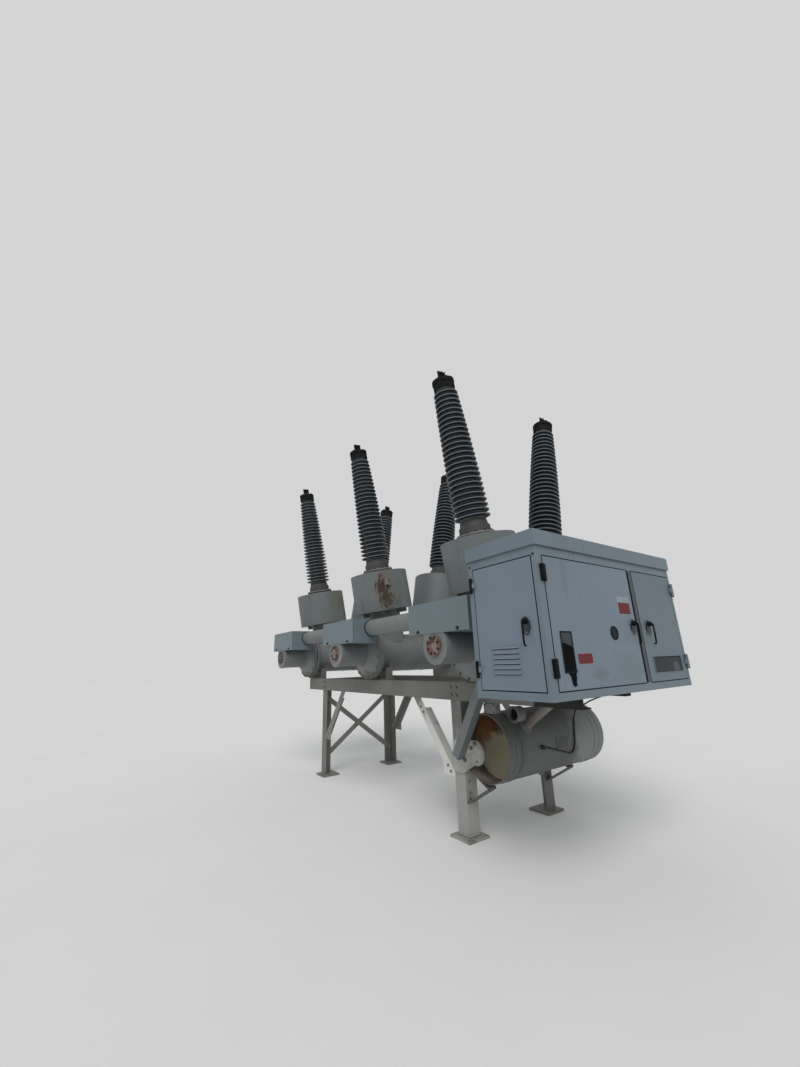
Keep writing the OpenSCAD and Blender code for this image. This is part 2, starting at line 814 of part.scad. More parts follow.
module cabinet_end_frame() {
    color("lightsteelblue")
        on_end_face() difference() {
            slab([sheet_t, 0, cab_floor_h + sheet_t], [cab_len - sheet_t, sheet_t, roof_top - sheet_t]);
            doorway(main_door_u, main_door_w);
            doorway(small_door_u, small_door_w);
        }
}

module cabinet_roof() {
    color("lightsteelblue")
        difference() {
            slab([cab_x0 - sheet_t - CLEAR, cab_y0 - roof_past, cab_top],
                [cab_x1 + roof_past, cab_y1 + sheet_t + CLEAR, roof_top]);
            slab([cab_x0 - CLEAR, cab_y0 - roof_past + sheet_t, cab_top - 1],
                [cab_x1 + roof_past - sheet_t, cab_y1 + CLEAR, roof_top - sheet_t]);
        }
}

// A hinge is drawn at its axis, with the door on the side of +u.
module at_hinge(u, w, toward, z) {
    hinge_u = toward > 0 ? u - hinge_off : u + w + hinge_off;
    translate([hinge_u, -hinge_proud, door_z0 + z]) mirror([toward > 0 ? 0 : 1, 0, 0]) children();
}

// The fixed half: two knuckles, their pin and a leaf on the frame.
module fixed_hinge() {
    cylinder(r = pin_r, h = hinge_h);
    for (dz = [0, 2 * hinge_h / 3]) translate([0, 0, dz]) {
        cylinder(r = knuckle_r, h = hinge_h / 3 - knuckle_play);
        translate([-hinge_leaf, 0, 0]) cube([hinge_leaf, hinge_proud, hinge_h / 3 - knuckle_play]);
    }
}

// The moving half: the middle knuckle and its leaf on the door.
module door_hinge() {
    h = hinge_h / 3 - knuckle_play;
    translate([0, 0, hinge_h / 3]) difference() {
        union() {
            cylinder(r = knuckle_r, h = h);
            cube([hinge_off + 14, hinge_proud - 1, h]);
            translate([hinge_off, 0, 0]) cube([14, hinge_proud, h]);
        }
        translate([0, 0, -1]) cylinder(r = pin_r + pin_gap, h = h + 2);
    }
}

module hinge_pair(u, w, toward) {
    for (z = [hinge_low, hinge_high]) at_hinge(u, w, toward, z) fixed_hinge();
}

module cabinet_hinges() {
    color("black") {
        on_side_face() hinge_pair(side_door_start, side_door_w, 1);
        on_end_face() hinge_pair(main_door_u, main_door_w, 1);
        on_end_face() hinge_pair(small_door_u, small_door_w, -1);
    }
}

function handle_u(u, w, toward, inset) = toward > 0 ? u + w - inset : u + inset;

// A folded door panel with its hinge leaves, and the plate and spindle of its handle.
module door(u, w, toward, inset) {
    color("lightsteelblue") {
        difference() {
            slab([u, 0, door_z0], [u + w, door_t, door_z0 + door_h]);
            slab([u + sheet_t, sheet_t, door_z0 + sheet_t],
                [u + w - sheet_t, door_t + 1, door_z0 + door_h - sheet_t]);
        }
        for (z = [hinge_low, hinge_high]) at_hinge(u, w, toward, z) door_hinge();
        translate([handle_u(u, w, toward, inset), -rose_t, door_z0 + handle_z]) {
            translate([-rose_w / 2, 0, rose_up - rose_h]) cube([rose_w, rose_t, rose_h]);
            rotate([90, 0, 0]) cylinder(r = pin_r, h = handle_gap + handle_t / 2);
        }
    }
}

module handle(u, w, toward, inset) {
    color("black")
        translate([handle_u(u, w, toward, inset), -rose_t - CLEAR, door_z0 + handle_z])
        difference() {
            union() {
                rotate([90, 0, 0]) cylinder(r = handle_w / 2, h = handle_t + handle_gap);
                translate([-handle_w / 2, -handle_t - handle_gap, -handle_len])
                    cube([handle_w, handle_t, handle_len]);
            }
            translate([0, 1, 0]) rotate([90, 0, 0])
                cylinder(r = pin_r + pin_gap, h = handle_gap + handle_t / 2 + 2);
        }
}

module side_door() {
    on_side_face() door(side_door_start, side_door_w, 1, side_handle_in);
}

module side_handle() {
    on_side_face() handle(side_door_start, side_door_w, 1, side_handle_in);
}

module main_door() {
    on_end_face() door(main_door_u, main_door_w, 1, main_handle_in);
}

module main_handle() {
    on_end_face() handle(main_door_u, main_door_w, 1, main_handle_in);
}

module small_door() {
    on_end_face() door(small_door_u, small_door_w, -1, small_handle_in);
}

module small_handle() {
    on_end_face() handle(small_door_u, small_door_w, -1, small_handle_in);
}

// Air receiver

// Solid of revolution about the receiver's axis, its height running to +Y from the front rim.
module about_receiver() {
    translate([rec_x, -rec_front_y, rec_h]) rotate([-90, 0, 0]) children();
}

module receiver_shell() {
    color("silver") about_receiver() difference() {
        cylinder(r = rec_r, h = rec_len);
        translate([0, 0, -1]) cylinder(r = rec_r - rec_t, h = rec_len + 2);
    }
}

// Heads dished inwards, with the ends of the shell standing out past them.
module receiver_heads() {
    r = rec_r - rec_t;
    color("tan") {
        about_receiver() rotate_extrude() head_section(r);
        about_receiver() translate([0, 0, rec_len]) mirror([0, 0, 1]) rotate_extrude() head_section(r);
    }
}

// Half section of a head, from its rim's outer edge in to the axis and back.
module head_section(r) {
    face = [for (a = [0:10:90]) [r * cos(a), rec_recess + rec_dish * sin(a)]];
    back = [for (a = [90:-10:0]) [r * cos(a), rec_recess + rec_t + rec_dish * sin(a)]];
    polygon(concat(face, back));
}

// A sloping strip under the receiver and a strut back to the leg, at each near leg.
module receiver_brackets() {
    dir = [cos(bracket_slope), -sin(bracket_slope)];
    nrm = [sin(bracket_slope), cos(bracket_slope)];
    touch = [rec_x, rec_h] - (rec_r + CLEAR + bracket_t / 2) * nrm;
    top = touch - dir * (touch[0] - leg_face_x + 3 * bracket_t) / dir[0];
    tip = touch + dir * bracket_reach;
    foot = [leg_face_x - 3 * bracket_t, bracket_foot - 2 * bracket_t];
    y1 = leg_face_y;
    color("gainsboro")
        for (sy = SIDES)
            mirror([0, sy > 0 ? 0 : 1, 0])
            intersection() {
                union() {
                    bar_xz(top, tip, bracket_t, y1 - bracket_w, y1);
                    bar_xz(foot, tip - [4, bracket_t / 2], bracket_t, y1 - bracket_w, y1);
                }
                slab([leg_face_x, 0, 0], [rec_x + 2 * rec_r, y1, rec_h]);
            }
}

// Tube swept along points, with a ring square to the path at each of them.
function unit(v) = v / norm(v);
function direction(p, k) = unit(p[min(k + 1, len(p) - 1)] - p[max(k - 1, 0)]);
function across(p, k) = k == 0 ? unit(cross(direction(p, 0), [0, 1, 0]))
    : let (d = direction(p, k), a = across(p, k - 1)) unit(a - d * (a * d));

module tube(p, r, sides) {
    n = len(p);
    rings = [for (k = [0:n - 1])
        let (a = across(p, k), b = cross(direction(p, k), a))
        each [for (j = [0:sides - 1]) p[k] + r * (a * cos(360 * j / sides) + b * sin(360 * j / sides))]];
    walls = [for (k = [0:n - 2]) for (j = [0:sides - 1])
        let (q = (j + 1) % sides)
        [k * sides + j, (k + 1) * sides + j, (k + 1) * sides + q, k * sides + q]];
    polyhedron(points = rings, faces = concat(walls,
        [[for (j = [0:sides - 1]) j]], [[for (j = [sides - 1:-1:0]) (n - 1) * sides + j]]));
}

// The hose, with the fitting that joins it to the shell.
module receiver_hose() {
    color("black") tube(HOSE, hose_d / 2, 10);
    color("dimgray")
        translate([rec_x, PORT_Y, rec_h]) rotate([0, 90 - PORT_A, 0])
        translate([0, 0, rec_r + CLEAR]) cylinder(r = 18, h = 28);
}

// A valve on the receiver's shoulder: a drum on a short stem, open at the front.
module receiver_valve() {
    wall = valve_r * 0.22;
    color("gainsboro")
        translate([rec_x, VALVE_Y, rec_h]) rotate([0, 90 - VALVE_A, 0])
        translate([0, 0, rec_r + CLEAR])
        difference() {
            union() {
                cylinder(r = valve_r * 0.5, h = VALVE_STEM + valve_r);
                translate([0, 0, VALVE_STEM + valve_r]) rotate([90, 0, 0])
                    cylinder(r = valve_r, h = valve_w, center = true);
            }
            translate([0, -valve_w * 0.1, VALVE_STEM + valve_r]) rotate([90, 0, 0])
                cylinder(r = valve_r - wall, h = valve_w);
        }
}

// The pipe from the receiver up to the cabinet's floor.
module receiver_feed() {
    color("gainsboro") tube(FEED, feed_r, 16);
}

main_beams();
cross_beams();
legs();
foot_plates();
knee_braces();
joint_plate();
outer_brace();
end_braces();
tank_saddles();
cabinet_bearers();
tanks();
drive_cylinders();
drive_discs();
rear_covers();
flange_gaskets();
link_boxes();
box_covers();
link_pipes();
pipe_gaskets();
bushing_necks();
transformer_cans();
bushing_flanges();
porcelain_row(-1);  // porcelain_front
porcelain_row(1);  // porcelain_rear
bushing_caps();
terminals();
cabinet_floor();
cabinet_inner_wall();
cabinet_rear_wall();
cabinet_side_frame();
cabinet_end_frame();
cabinet_roof();
cabinet_hinges();
side_door();
side_handle();
main_door();
main_handle();
small_door();
small_handle();
receiver_shell();
receiver_heads();
receiver_brackets();
receiver_hose();
receiver_valve();
receiver_feed();
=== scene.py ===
"""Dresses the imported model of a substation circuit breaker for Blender 4.5.

All sizes are in metres in the model's own frame: the origin is on the floor under the
middle pole, X runs along the row towards the control cabinet, -Y is the side of the
link boxes and Z is up.
"""
import logging
import math
import random
from dataclasses import dataclass, replace
from enum import Enum
from typing import Callable, Iterable, Mapping, Sequence

import bmesh
import bpy
from mathutils import Matrix, Vector


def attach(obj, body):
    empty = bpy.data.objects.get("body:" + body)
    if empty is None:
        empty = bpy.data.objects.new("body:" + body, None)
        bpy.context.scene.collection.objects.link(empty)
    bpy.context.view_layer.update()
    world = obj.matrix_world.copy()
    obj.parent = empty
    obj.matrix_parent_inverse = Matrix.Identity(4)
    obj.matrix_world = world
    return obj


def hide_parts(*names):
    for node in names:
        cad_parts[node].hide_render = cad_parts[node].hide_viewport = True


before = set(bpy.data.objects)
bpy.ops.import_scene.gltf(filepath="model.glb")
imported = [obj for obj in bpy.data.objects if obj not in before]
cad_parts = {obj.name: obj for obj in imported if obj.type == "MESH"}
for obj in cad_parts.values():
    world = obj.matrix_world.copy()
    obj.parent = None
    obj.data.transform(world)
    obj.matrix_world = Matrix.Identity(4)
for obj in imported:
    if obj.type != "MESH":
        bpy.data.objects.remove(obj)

LOG = logging.getLogger("breaker")
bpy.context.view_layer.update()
POLE_PITCH = 1.75
AXIS_HEIGHT = 1.53
BUSHING_FOOT = 0.342
BUSHING_LEAN = math.radians(10.0)
POLES = {-1: "far", 0: "middle", 1: "near"}
SIDES = {-1: "front", 1: "rear"}
CORNERS = tuple((sx, sy) for sx in SIDES for sy in SIDES)
FORWARD = (0, -1, 0)
ENDWARD = (1, 0, 0)
UP = (0, 0, 1)
DOWN = (0, 0, -1)
Vec = Sequence[float]
Socket = bpy.types.NodeSocket


class Slot(Enum):
    """The record's material slots, one of which is passed with each piece."""

    FRAME = "frame_paint"
    TANK = "tank_paint"
    DISC = "disc_paint"
    RUBBER = "rubber"
    CAP = "cap_metal"
    BLACK = "black_metal"
    RECEIVER = "receiver_paint"
    CASTING = "casting"
    CABINET = "cabinet_paint"
    PORCELAIN = "porcelain"


def tint(code: str) -> tuple[float, float, float, float]:
    """Reads a display colour for use in a shader.

    Args:
        code: Six hex digits, red first.

    Returns:
        The linear colour with full alpha.
    """
    parts = [int(code[k:k + 2], 16) / 255 for k in (0, 2, 4)]
    linear = [c / 12.92 if c <= 0.04045 else ((c + 0.055) / 1.055) ** 2.4 for c in parts]
    return (linear[0], linear[1], linear[2], 1.0)


class Graph:
    """A shader node tree with short calls that add and join nodes."""

    def __init__(self, tree: bpy.types.NodeTree) -> None:
        """Keeps the tree that the calls work on."""
        self.tree = tree

    def feed(self, socket: Socket, value: object) -> None:
        """Joins a socket to another one, or sets its constant.

        Args:
            socket: The input that is fed.
            value: Another socket, or a constant.
        """
        if isinstance(value, bpy.types.NodeSocket):
            self.tree.links.new(value, socket)
        else:
            socket.default_value = value

    def add(self, kind: str, feeds: Mapping[object, object] | None = None,
            **settings: object) -> bpy.types.Node:
        """Adds one node.

        Args:
            kind: The node's type name without the shader prefix.
            feeds: Values or sockets for its inputs, by name or place.
            settings: Properties of the node itself.

        Returns:
            The new node.
        """
        prefix = "" if kind.startswith("Node") else "ShaderNode"
        node = self.tree.nodes.new(prefix + kind)
        for key, value in settings.items():
            setattr(node, key, value)
        for key, value in (feeds or {}).items():
            self.feed(node.inputs[key], value)
        return node

    def math(self, operation: str, a: object, b: object = 0.0) -> Socket:
        """The result of one sum on two values."""
        return self.add("Math", {0: a, 1: b}, operation=operation).outputs[0]

    def ramp(self, value: Socket, low: object, high: object) -> Socket:
        """A value of 0 up to low and 1 from high, smooth between them.

        Args:
            value: The value that is read.
            low: Where the ramp starts.
            high: Where it ends.

        Returns:
            The value on the ramp.
        """
        feeds = {"Value": value, "From Min": low, "From Max": high}
        node = self.add("MapRange", feeds, interpolation_type="SMOOTHSTEP", clamp=True)
        return node.outputs["Result"]

    def mix(self, share: object, a: object, b: object) -> Socket:
        """Colour a turned into colour b by share."""
        node = self.add("Mix", {0: share, 6: a, 7: b}, data_type="RGBA")
        return node.outputs[2]

    def noise(self, place: Socket, scale: object, detail: float = 4.0,
              rough: float = 0.6) -> Socket:
        """Cloudy noise between 0 and 1 with the given number of spots a metre."""
        feeds = {"Vector": place, "Scale": scale, "Detail": detail, "Roughness": rough}
        return self.add("TexNoise", feeds).outputs["Fac"]


@dataclass(frozen=True)
class Effect:
    """A shader node group that several finishes share."""

    title: str
    takes: tuple[tuple[str, str, object], ...]
    gives: tuple[tuple[str, str], ...]
    wire: Callable[[Graph, Mapping[str, Socket]], dict[str, Socket]]

    def tree(self) -> bpy.types.NodeTree:
        """The node group, which is made on first use.

        Returns:
            The group with its named sockets joined up.
        """
        found = bpy.data.node_groups.get(self.title)
        if found:
            return found
        tree = bpy.data.node_groups.new(self.title, "ShaderNodeTree")
        for name, kind, value in self.takes:
            socket = tree.interface.new_socket(
                name, in_out="INPUT", socket_type="NodeSocket" + kind)
            if value is not None:
                socket.default_value = value
        for name, kind in self.gives:
            tree.interface.new_socket(name, in_out="OUTPUT", socket_type="NodeSocket" + kind)
        graph = Graph(tree)
        start, end = graph.add("NodeGroupInput"), graph.add("NodeGroupOutput")
        given = self.wire(graph, {name: start.outputs[name] for name, _, _ in self.takes})
        for name, socket in given.items():
            graph.feed(end.inputs[name], socket)
        return tree

    def place(self, graph: Graph, feeds: Mapping[str, object]) -> bpy.types.Node:
        """Puts the group in a material.

        Args:
            graph: The material's tree.
            feeds: Values or sockets for the group's inputs.

        Returns:
            The group's node.
        """
        node = graph.add("Group", node_tree=self.tree())
        for name, value in feeds.items():
            graph.feed(node.inputs[name], value)
        return node


def wire_mottle(g: Graph, s: Mapping[str, Socket]) -> dict[str, Socket]:
    """Turns a colour into a second one in soft clouds.

    Args:
        g: The group's tree.
        s: The group's inputs by name.

    Returns:
        The group's outputs by name.
    """
    cloud = g.ramp(g.noise(s["Vector"], s["Scale"], 5.0), 0.36, 0.66)
    return {"Colour": g.mix(g.math("MULTIPLY", cloud, s["Amount"]), s["Base"], s["Other"])}


def wire_drips(g: Graph, s: Mapping[str, Socket]) -> dict[str, Socket]:
    """Runs thin stains down the surface, thick in some places and absent in others.

    Args:
        g: The group's tree.
        s: The group's inputs by name.

    Returns:
        The group's outputs by name.
    """
    tall = g.add("VectorMath", {0: s["Vector"], 1: (1.0, 1.0, 0.06)}, operation="MULTIPLY")
    runs = g.ramp(g.noise(tall.outputs[0], s["Scale"], 3.0), 0.5, 0.72)
    where = g.ramp(g.noise(s["Vector"], 1.7, 2.0), 0.42, 0.66)
    mask = g.math("MULTIPLY", g.math("MULTIPLY", runs, where), s["Amount"])
    return {"Colour": g.mix(mask, s["Base"], s["Tinge"]), "Mask": mask}


def wire_rust(g: Graph, s: Mapping[str, Socket]) -> dict[str, Socket]:
    """Sets ragged rust spots, more of them as the amount goes up.

    Args:
        g: The group's tree.
        s: The group's inputs by name.

    Returns:
        The group's outputs by name.
    """
    spots = g.noise(s["Vector"], s["Scale"], 9.0, 0.68)
    edge = g.math("SUBTRACT", 0.78, g.math("MULTIPLY", s["Amount"], 0.3))
    mask = g.ramp(spots, edge, g.math("ADD", edge, 0.06))
    return {"Colour": g.mix(mask, s["Base"], s["Rust"]), "Mask": mask}


def wire_patch(g: Graph, s: Mapping[str, Socket]) -> dict[str, Socket]:
    """Tints one ragged place on the surface, in runs where the stretch is low; finishes use it
    for stains and for painted light and shade.

    Args:
        g: The group's tree.
        s: The group's inputs by name.

    Returns:
        The group's outputs by name.
    """
    away = g.add("VectorMath", {0: s["Vector"], 1: s["Centre"]}, operation="SUBTRACT")
    scaled = g.add("VectorMath", {0: away.outputs[0], 1: s["Spread"]}, operation="DIVIDE")
    far = g.add("VectorMath", {0: scaled.outputs[0]}, operation="LENGTH").outputs["Value"]
    drawn = g.add("VectorMath", {0: s["Vector"], 1: s["Stretch"]}, operation="MULTIPLY")
    speck = g.noise(drawn.outputs[0], s["Scale"], 7.0)
    ragged = g.math("MULTIPLY", g.math("SUBTRACT", speck, 0.5), s["Ragged"])
    mask = g.math("MULTIPLY", g.ramp(g.math("ADD", far, ragged), 1.0, 0.45), s["Amount"])
    return {"Colour": g.mix(mask, s["Base"], s["Tinge"]), "Mask": mask}


def wire_dust(g: Graph, s: Mapping[str, Socket]) -> dict[str, Socket]:
    """Lays pale dust in clouds on what faces up.

    Args:
        g: The group's tree.
        s: The group's inputs by name.

    Returns:
        The group's outputs by name.
    """
    normal = g.add("NewGeometry").outputs["Normal"]
    up = g.add("SeparateXYZ", {0: normal}).outputs["Z"]
    cloud = g.ramp(g.noise(s["Vector"], 9.0, 6.0), 0.2, 0.7)
    top = g.math("MULTIPLY", g.ramp(up, 0.25, 0.95), cloud)
    mask = g.math("MULTIPLY", top, s["Amount"])
    return {"Colour": g.mix(mask, s["Base"], s["Dust"]), "Mask": mask}


def wire_grain(g: Graph, s: Mapping[str, Socket]) -> dict[str, Socket]:
    """Adds the fine grain of the coat and the slow waves of the sheet, in metres.

    Args:
        g: The group's tree.
        s: The group's inputs by name.

    Returns:
        The group's outputs by name.
    """
    fine = g.math("MULTIPLY", g.noise(s["Vector"], s["Scale"], 2.0), s["Depth"])
    wave = g.math("MULTIPLY", g.noise(s["Vector"], 3.1, 1.0), s["Wave"])
    return {"Height": g.math("ADD", fine, wave)}


PLACE = ("Vector", "Vector", None)
BASE = ("Base", "Color", None)
AMOUNT = ("Amount", "Float", 0.5)
SCALE = ("Scale", "Float", 5.0)
PAINTED = (("Colour", "Color"), ("Mask", "Float"))
MOTTLE = Effect("mottle", (PLACE, BASE, ("Other", "Color", None), SCALE, AMOUNT),
                (("Colour", "Color"),), wire_mottle)
DRIPS = Effect("drip stains", (PLACE, BASE, ("Tinge", "Color", None), SCALE, AMOUNT),
               PAINTED, wire_drips)
RUST = Effect("rust spots", (PLACE, BASE, ("Rust", "Color", None), SCALE, AMOUNT),
              PAINTED, wire_rust)
PATCH = Effect("stained patch", (PLACE, BASE, ("Tinge", "Color", None),
                                 ("Centre", "Vector", None), ("Spread", "Vector", None),
                                 ("Stretch", "Vector", None), ("Ragged", "Float", 1.6),
                                 SCALE, AMOUNT), PAINTED, wire_patch)
DUST = Effect("settled dust", (PLACE, BASE, ("Dust", "Color", None), AMOUNT),
              PAINTED, wire_dust)
GRAIN = Effect("coat grain", (PLACE, SCALE, ("Depth", "Float", 0.0002),
                              ("Wave", "Float", 0.001)), (("Height", "Float"),), wire_grain)


@dataclass(frozen=True)
class Tinge:
    """One tinged place in the model's frame; finishes use it for stains and for painted light and
    shade.
    """

    colour: str
    centre: tuple[float, float, float]
    spread: tuple[float, float, float]
    amount: float = 0.8
    scale: float = 14.0
    ragged: float = 1.6
    stretch: float = 1.0

    def feeds(self) -> dict[str, object]:
        """The stain's values for the patch effect, by the names of its sockets.

        Returns:
            The values, ready for the patch effect.
        """
        return {"Tinge": tint(self.colour), "Centre": self.centre, "Spread": self.spread,
                "Scale": self.scale, "Stretch": (1.0, 1.0, self.stretch),
                "Ragged": self.ragged, "Amount": self.amount}


@dataclass(frozen=True)
class Finish:
    """A weathered coat, casting or glaze, built from the shared effects.

    Cloud holds the scale and amount of the second colour, drips and rust their colour,
    scale and amount, dust its colour and amount, and grain its scale, depth and wave.
    """

    title: str
    colour: str
    second: str
    roughness: float = 0.5
    metallic: float = 0.0
    coat: float = 0.0
    shine: float = 0.5
    cloud: tuple[float, float] = (2.5, 0.5)
    drips: tuple[str, float, float] = ("5a4a3a", 26.0, 0.0)
    rust: tuple[str, float, float] = ("6b3b22", 22.0, 0.0)
    dust: tuple[str, float] = ("a9a295", 0.25)
    grain: tuple[float, float, float] = (160.0, 0.0002, 0.0012)
    # tinges: stains, and in some finishes painted light and shade
    tinges: tuple[Tinge, ...] = ()

    def layers(self) -> list[tuple[Effect, dict[str, object]]]:
        """Lists what lies on the coat.

        Returns:
            The effects from the bottom up, each with its own values.
        """
        laid: list[tuple[Effect, dict[str, object]]] = []
        colour, scale, amount = self.drips
        if amount > 0:
            laid.append((DRIPS, {"Tinge": tint(colour), "Scale": scale, "Amount": amount}))
        laid += [(PATCH, tinge.feeds()) for tinge in self.tinges]
        colour, scale, amount = self.rust
        if amount > 0:
            laid.append((RUST, {"Rust": tint(colour), "Scale": scale, "Amount": amount}))
        colour, amount = self.dust
        laid.append((DUST, {"Dust": tint(colour), "Amount": amount}))
        return laid

    def rough(self, g: Graph, place: Socket, masks: Iterable[Socket]) -> Socket:
        """Works out the roughness, which wanders a little and goes up under every mask.

        Args:
            g: The material's tree.
            place: Where the surface is.
            masks: The masks of the layers.

        Returns:
            The roughness.
        """
        wander, tinged, highest = 0.12, 0.25, 0.97
        value = g.math("MULTIPLY", g.noise(place, 12.0), wander)
        value = g.math("ADD", value, self.roughness - wander / 2)
        for mask in masks:
            value = g.math("ADD", value, g.math("MULTIPLY", mask, tinged))
        return g.math("MINIMUM", value, highest)

    def build(self) -> bpy.types.Material:
        """Makes the material.

        Returns:
            The material, with colour, roughness and bump from its nodes.
        """
        found = bpy.data.materials.get(self.title)
        if found:
            return found
        material = bpy.data.materials.new(self.title)
        material.use_nodes = True
        g = Graph(material.node_tree)
        shader = g.tree.nodes["Principled BSDF"]
        for name, value in (("Metallic", self.metallic), ("Coat Weight", self.coat),
                            ("Specular IOR Level", self.shine), ("Coat Roughness", 0.12)):
            shader.inputs[name].default_value = value
        place = g.add("TexCoord").outputs["Object"]
        scale, amount = self.cloud
        colour = MOTTLE.place(g, {"Vector": place, "Base": tint(self.colour),
                                  "Other": tint(self.second), "Scale": scale,
                                  "Amount": amount}).outputs["Colour"]
        masks: list[Socket] = []
        for effect, feeds in self.layers():
            node = effect.place(g, {"Vector": place, "Base": colour, **feeds})
            colour = node.outputs["Colour"]
            masks.append(node.outputs["Mask"])
        g.feed(shader.inputs["Base Color"], colour)
        g.feed(shader.inputs["Roughness"], self.rough(g, place, masks))
        scale, depth, wave = self.grain
        height = GRAIN.place(g, {"Vector": place, "Scale": scale, "Depth": depth,
                                 "Wave": wave}).outputs["Height"]
        bump = g.add("Bump", {"Height": height, "Distance": 1.0, "Strength": 0.8})
        g.feed(shader.inputs["Normal"], bump.outputs["Normal"])
        return material


CABINET_PAINT = Finish("cabinet paint", "6d7c87", "63727d", 0.47, cloud=(1.6, 0.6),
                       drips=("5f686d", 24.0, 0.35), dust=("8f9392", 0.2))
DOOR_PAINT = Finish("door paint", "6d7c89", "748391", 0.45, cloud=(1.3, 0.6),
                    drips=("626c6f", 20.0, 0.3), dust=("8f9392", 0.15),
                    tinges=(Tinge("647779", (2.83, -0.25, 1.33), (0.2, 0.3, 0.14), 0.35, 9.0),
                            Tinge("5f5b52", (2.83, -0.62, 1.3), (0.2, 0.12, 0.05), 0.3, 30.0)))
# A darker copy of the door paint for the small door.
SMALL_DOOR_PAINT = replace(DOOR_PAINT, title="small door paint", colour="64737e",
                           second="5d6b76", tinges=())
BOX_PAINT = replace(CABINET_PAINT, title="link box paint", colour="6b7a82", second="637173")
TANK_PAINT = Finish("tank paint", "787c7c", "6d7171", 0.52, cloud=(2.2, 0.7),
                    drips=("524a3e", 30.0, 0.4), rust=("5e3826", 30.0, 0.25),
                    dust=("8f897d", 0.35),
                    tinges=(Tinge("5d4d39", (0.0, -0.72, 1.27), (0.3, 0.12, 0.07), 0.6, 20.0),
                            Tinge("9a8d94", (-0.06, -0.7, 1.36), (0.1, 0.1, 0.12), 0.4, 16.0),
                            Tinge("5d4d39", (-1.75, -0.72, 1.27), (0.3, 0.12, 0.07), 0.6, 20.0),
                            Tinge("a6a8a6", (0.0, -1.115, 1.53), (4.0, 0.03, 0.5), 0.85, 9.0,
                                  0.6)))
CAN_PAINT = Finish(
    "can paint", "6e7576", "646a6b", 0.5, cloud=(1.8, 0.7), drips=("524d43", 18.0, 0.45),
    dust=("88837a", 0.35),
    tinges=(Tinge("726c58", (0.31, -0.62, 2.22), (0.17, 0.17, 0.27), 0.65, 11.0),
            Tinge("43342a", (0.288, -0.668, 2.28), (0.06, 0.06, 0.15), 0.9, 34.0, 3.6, 0.3),
            Tinge("3a2d24", (0.315, -0.62, 2.2), (0.075, 0.075, 0.18), 0.85, 46.0, 4.2, 0.45),
            Tinge("423f2f", (0.326, -0.575, 2.11), (0.11, 0.11, 0.1), 0.85, 52.0, 4.6, 0.7),
            Tinge("8c8a80", (0.318, -0.61, 2.33), (0.03, 0.03, 0.07), 0.7, 30.0, 2.0, 0.3),
            Tinge("5e3c40", (0.303, -0.672, 2.395), (0.035, 0.04, 0.035), 0.8, 40.0, 2.4),
            Tinge("120f0d", (0.331, -0.59, 2.275), (0.03, 0.03, 0.026), 0.95, 60.0, 1.6),
            Tinge("6d6d52", (-1.424, -0.358, 2.359), (0.13, 0.2, 0.2), 0.6, 12.0),
            Tinge("6a6d55", (-1.5, -0.42, 2.05), (0.2, 0.2, 0.12), 0.45, 16.0),
            Tinge("60706a", (2.06, -0.6, 2.0), (0.2, 0.2, 0.15), 0.3, 12.0)))
FLANGE_PAINT = Finish("bushing flange paint", "4e4d4f", "464345", 0.6, cloud=(6.0, 0.7),
                      shine=0.3, drips=("38332f", 34.0, 0.45), rust=("4c3125", 34.0, 0.3),
                      dust=("6d6963", 0.3))
# The flange's pale edge is painted highlight.
FLANGE_EDGE_LIT = replace(FLANGE_PAINT, title="bushing flange edge with painted highlight", colour="8a8b89",
                      second="767775", dust=("9a958a", 0.3))
FRAME_PAINT = Finish("frame paint", "767672", "696964", 0.58, cloud=(2.0, 0.7),
                     drips=("4c4338", 34.0, 0.4), rust=("5c3824", 26.0, 0.24),
                     dust=("8d867a", 0.45), grain=(240.0, 0.0003, 0.001))
# The pale patch on the near-front leg is painted light.
LEG_PAINT_LIT = replace(FRAME_PAINT, title="leg paint with painted light",
                    tinges=(Tinge("a5a5a0", (1.37, -0.51, 0.3), (0.25, 0.25, 0.75), 0.9, 5.0),))
# The pale patch round the near-front knee brace and joint plate is painted light.
BRACE_PAINT_LIT = Finish("brace paint", "84847f", "767671", 0.55, cloud=(3.0, 0.7),
                     drips=("57503f", 34.0, 0.35), rust=("5c3824", 30.0, 0.2),
                     dust=("a8a49a", 0.5), grain=(240.0, 0.0003, 0.001),
                     tinges=(Tinge("b6b6b1", (1.2, -0.57, 0.75), (0.5, 0.2, 0.55), 0.9, 5.0),))
# The bright patch on the knee brace is painted light.
KNEE_PAINT_LIT = replace(BRACE_PAINT_LIT, title="knee brace paint with painted light", tinges=(
    Tinge("dededa", (1.2, -0.57, 0.75), (0.5, 0.2, 0.55), 0.95, 5.0),))
OUTER_PAINT = replace(BRACE_PAINT_LIT, title="long brace paint", colour="737778",
                      second="676a6a", tinges=())
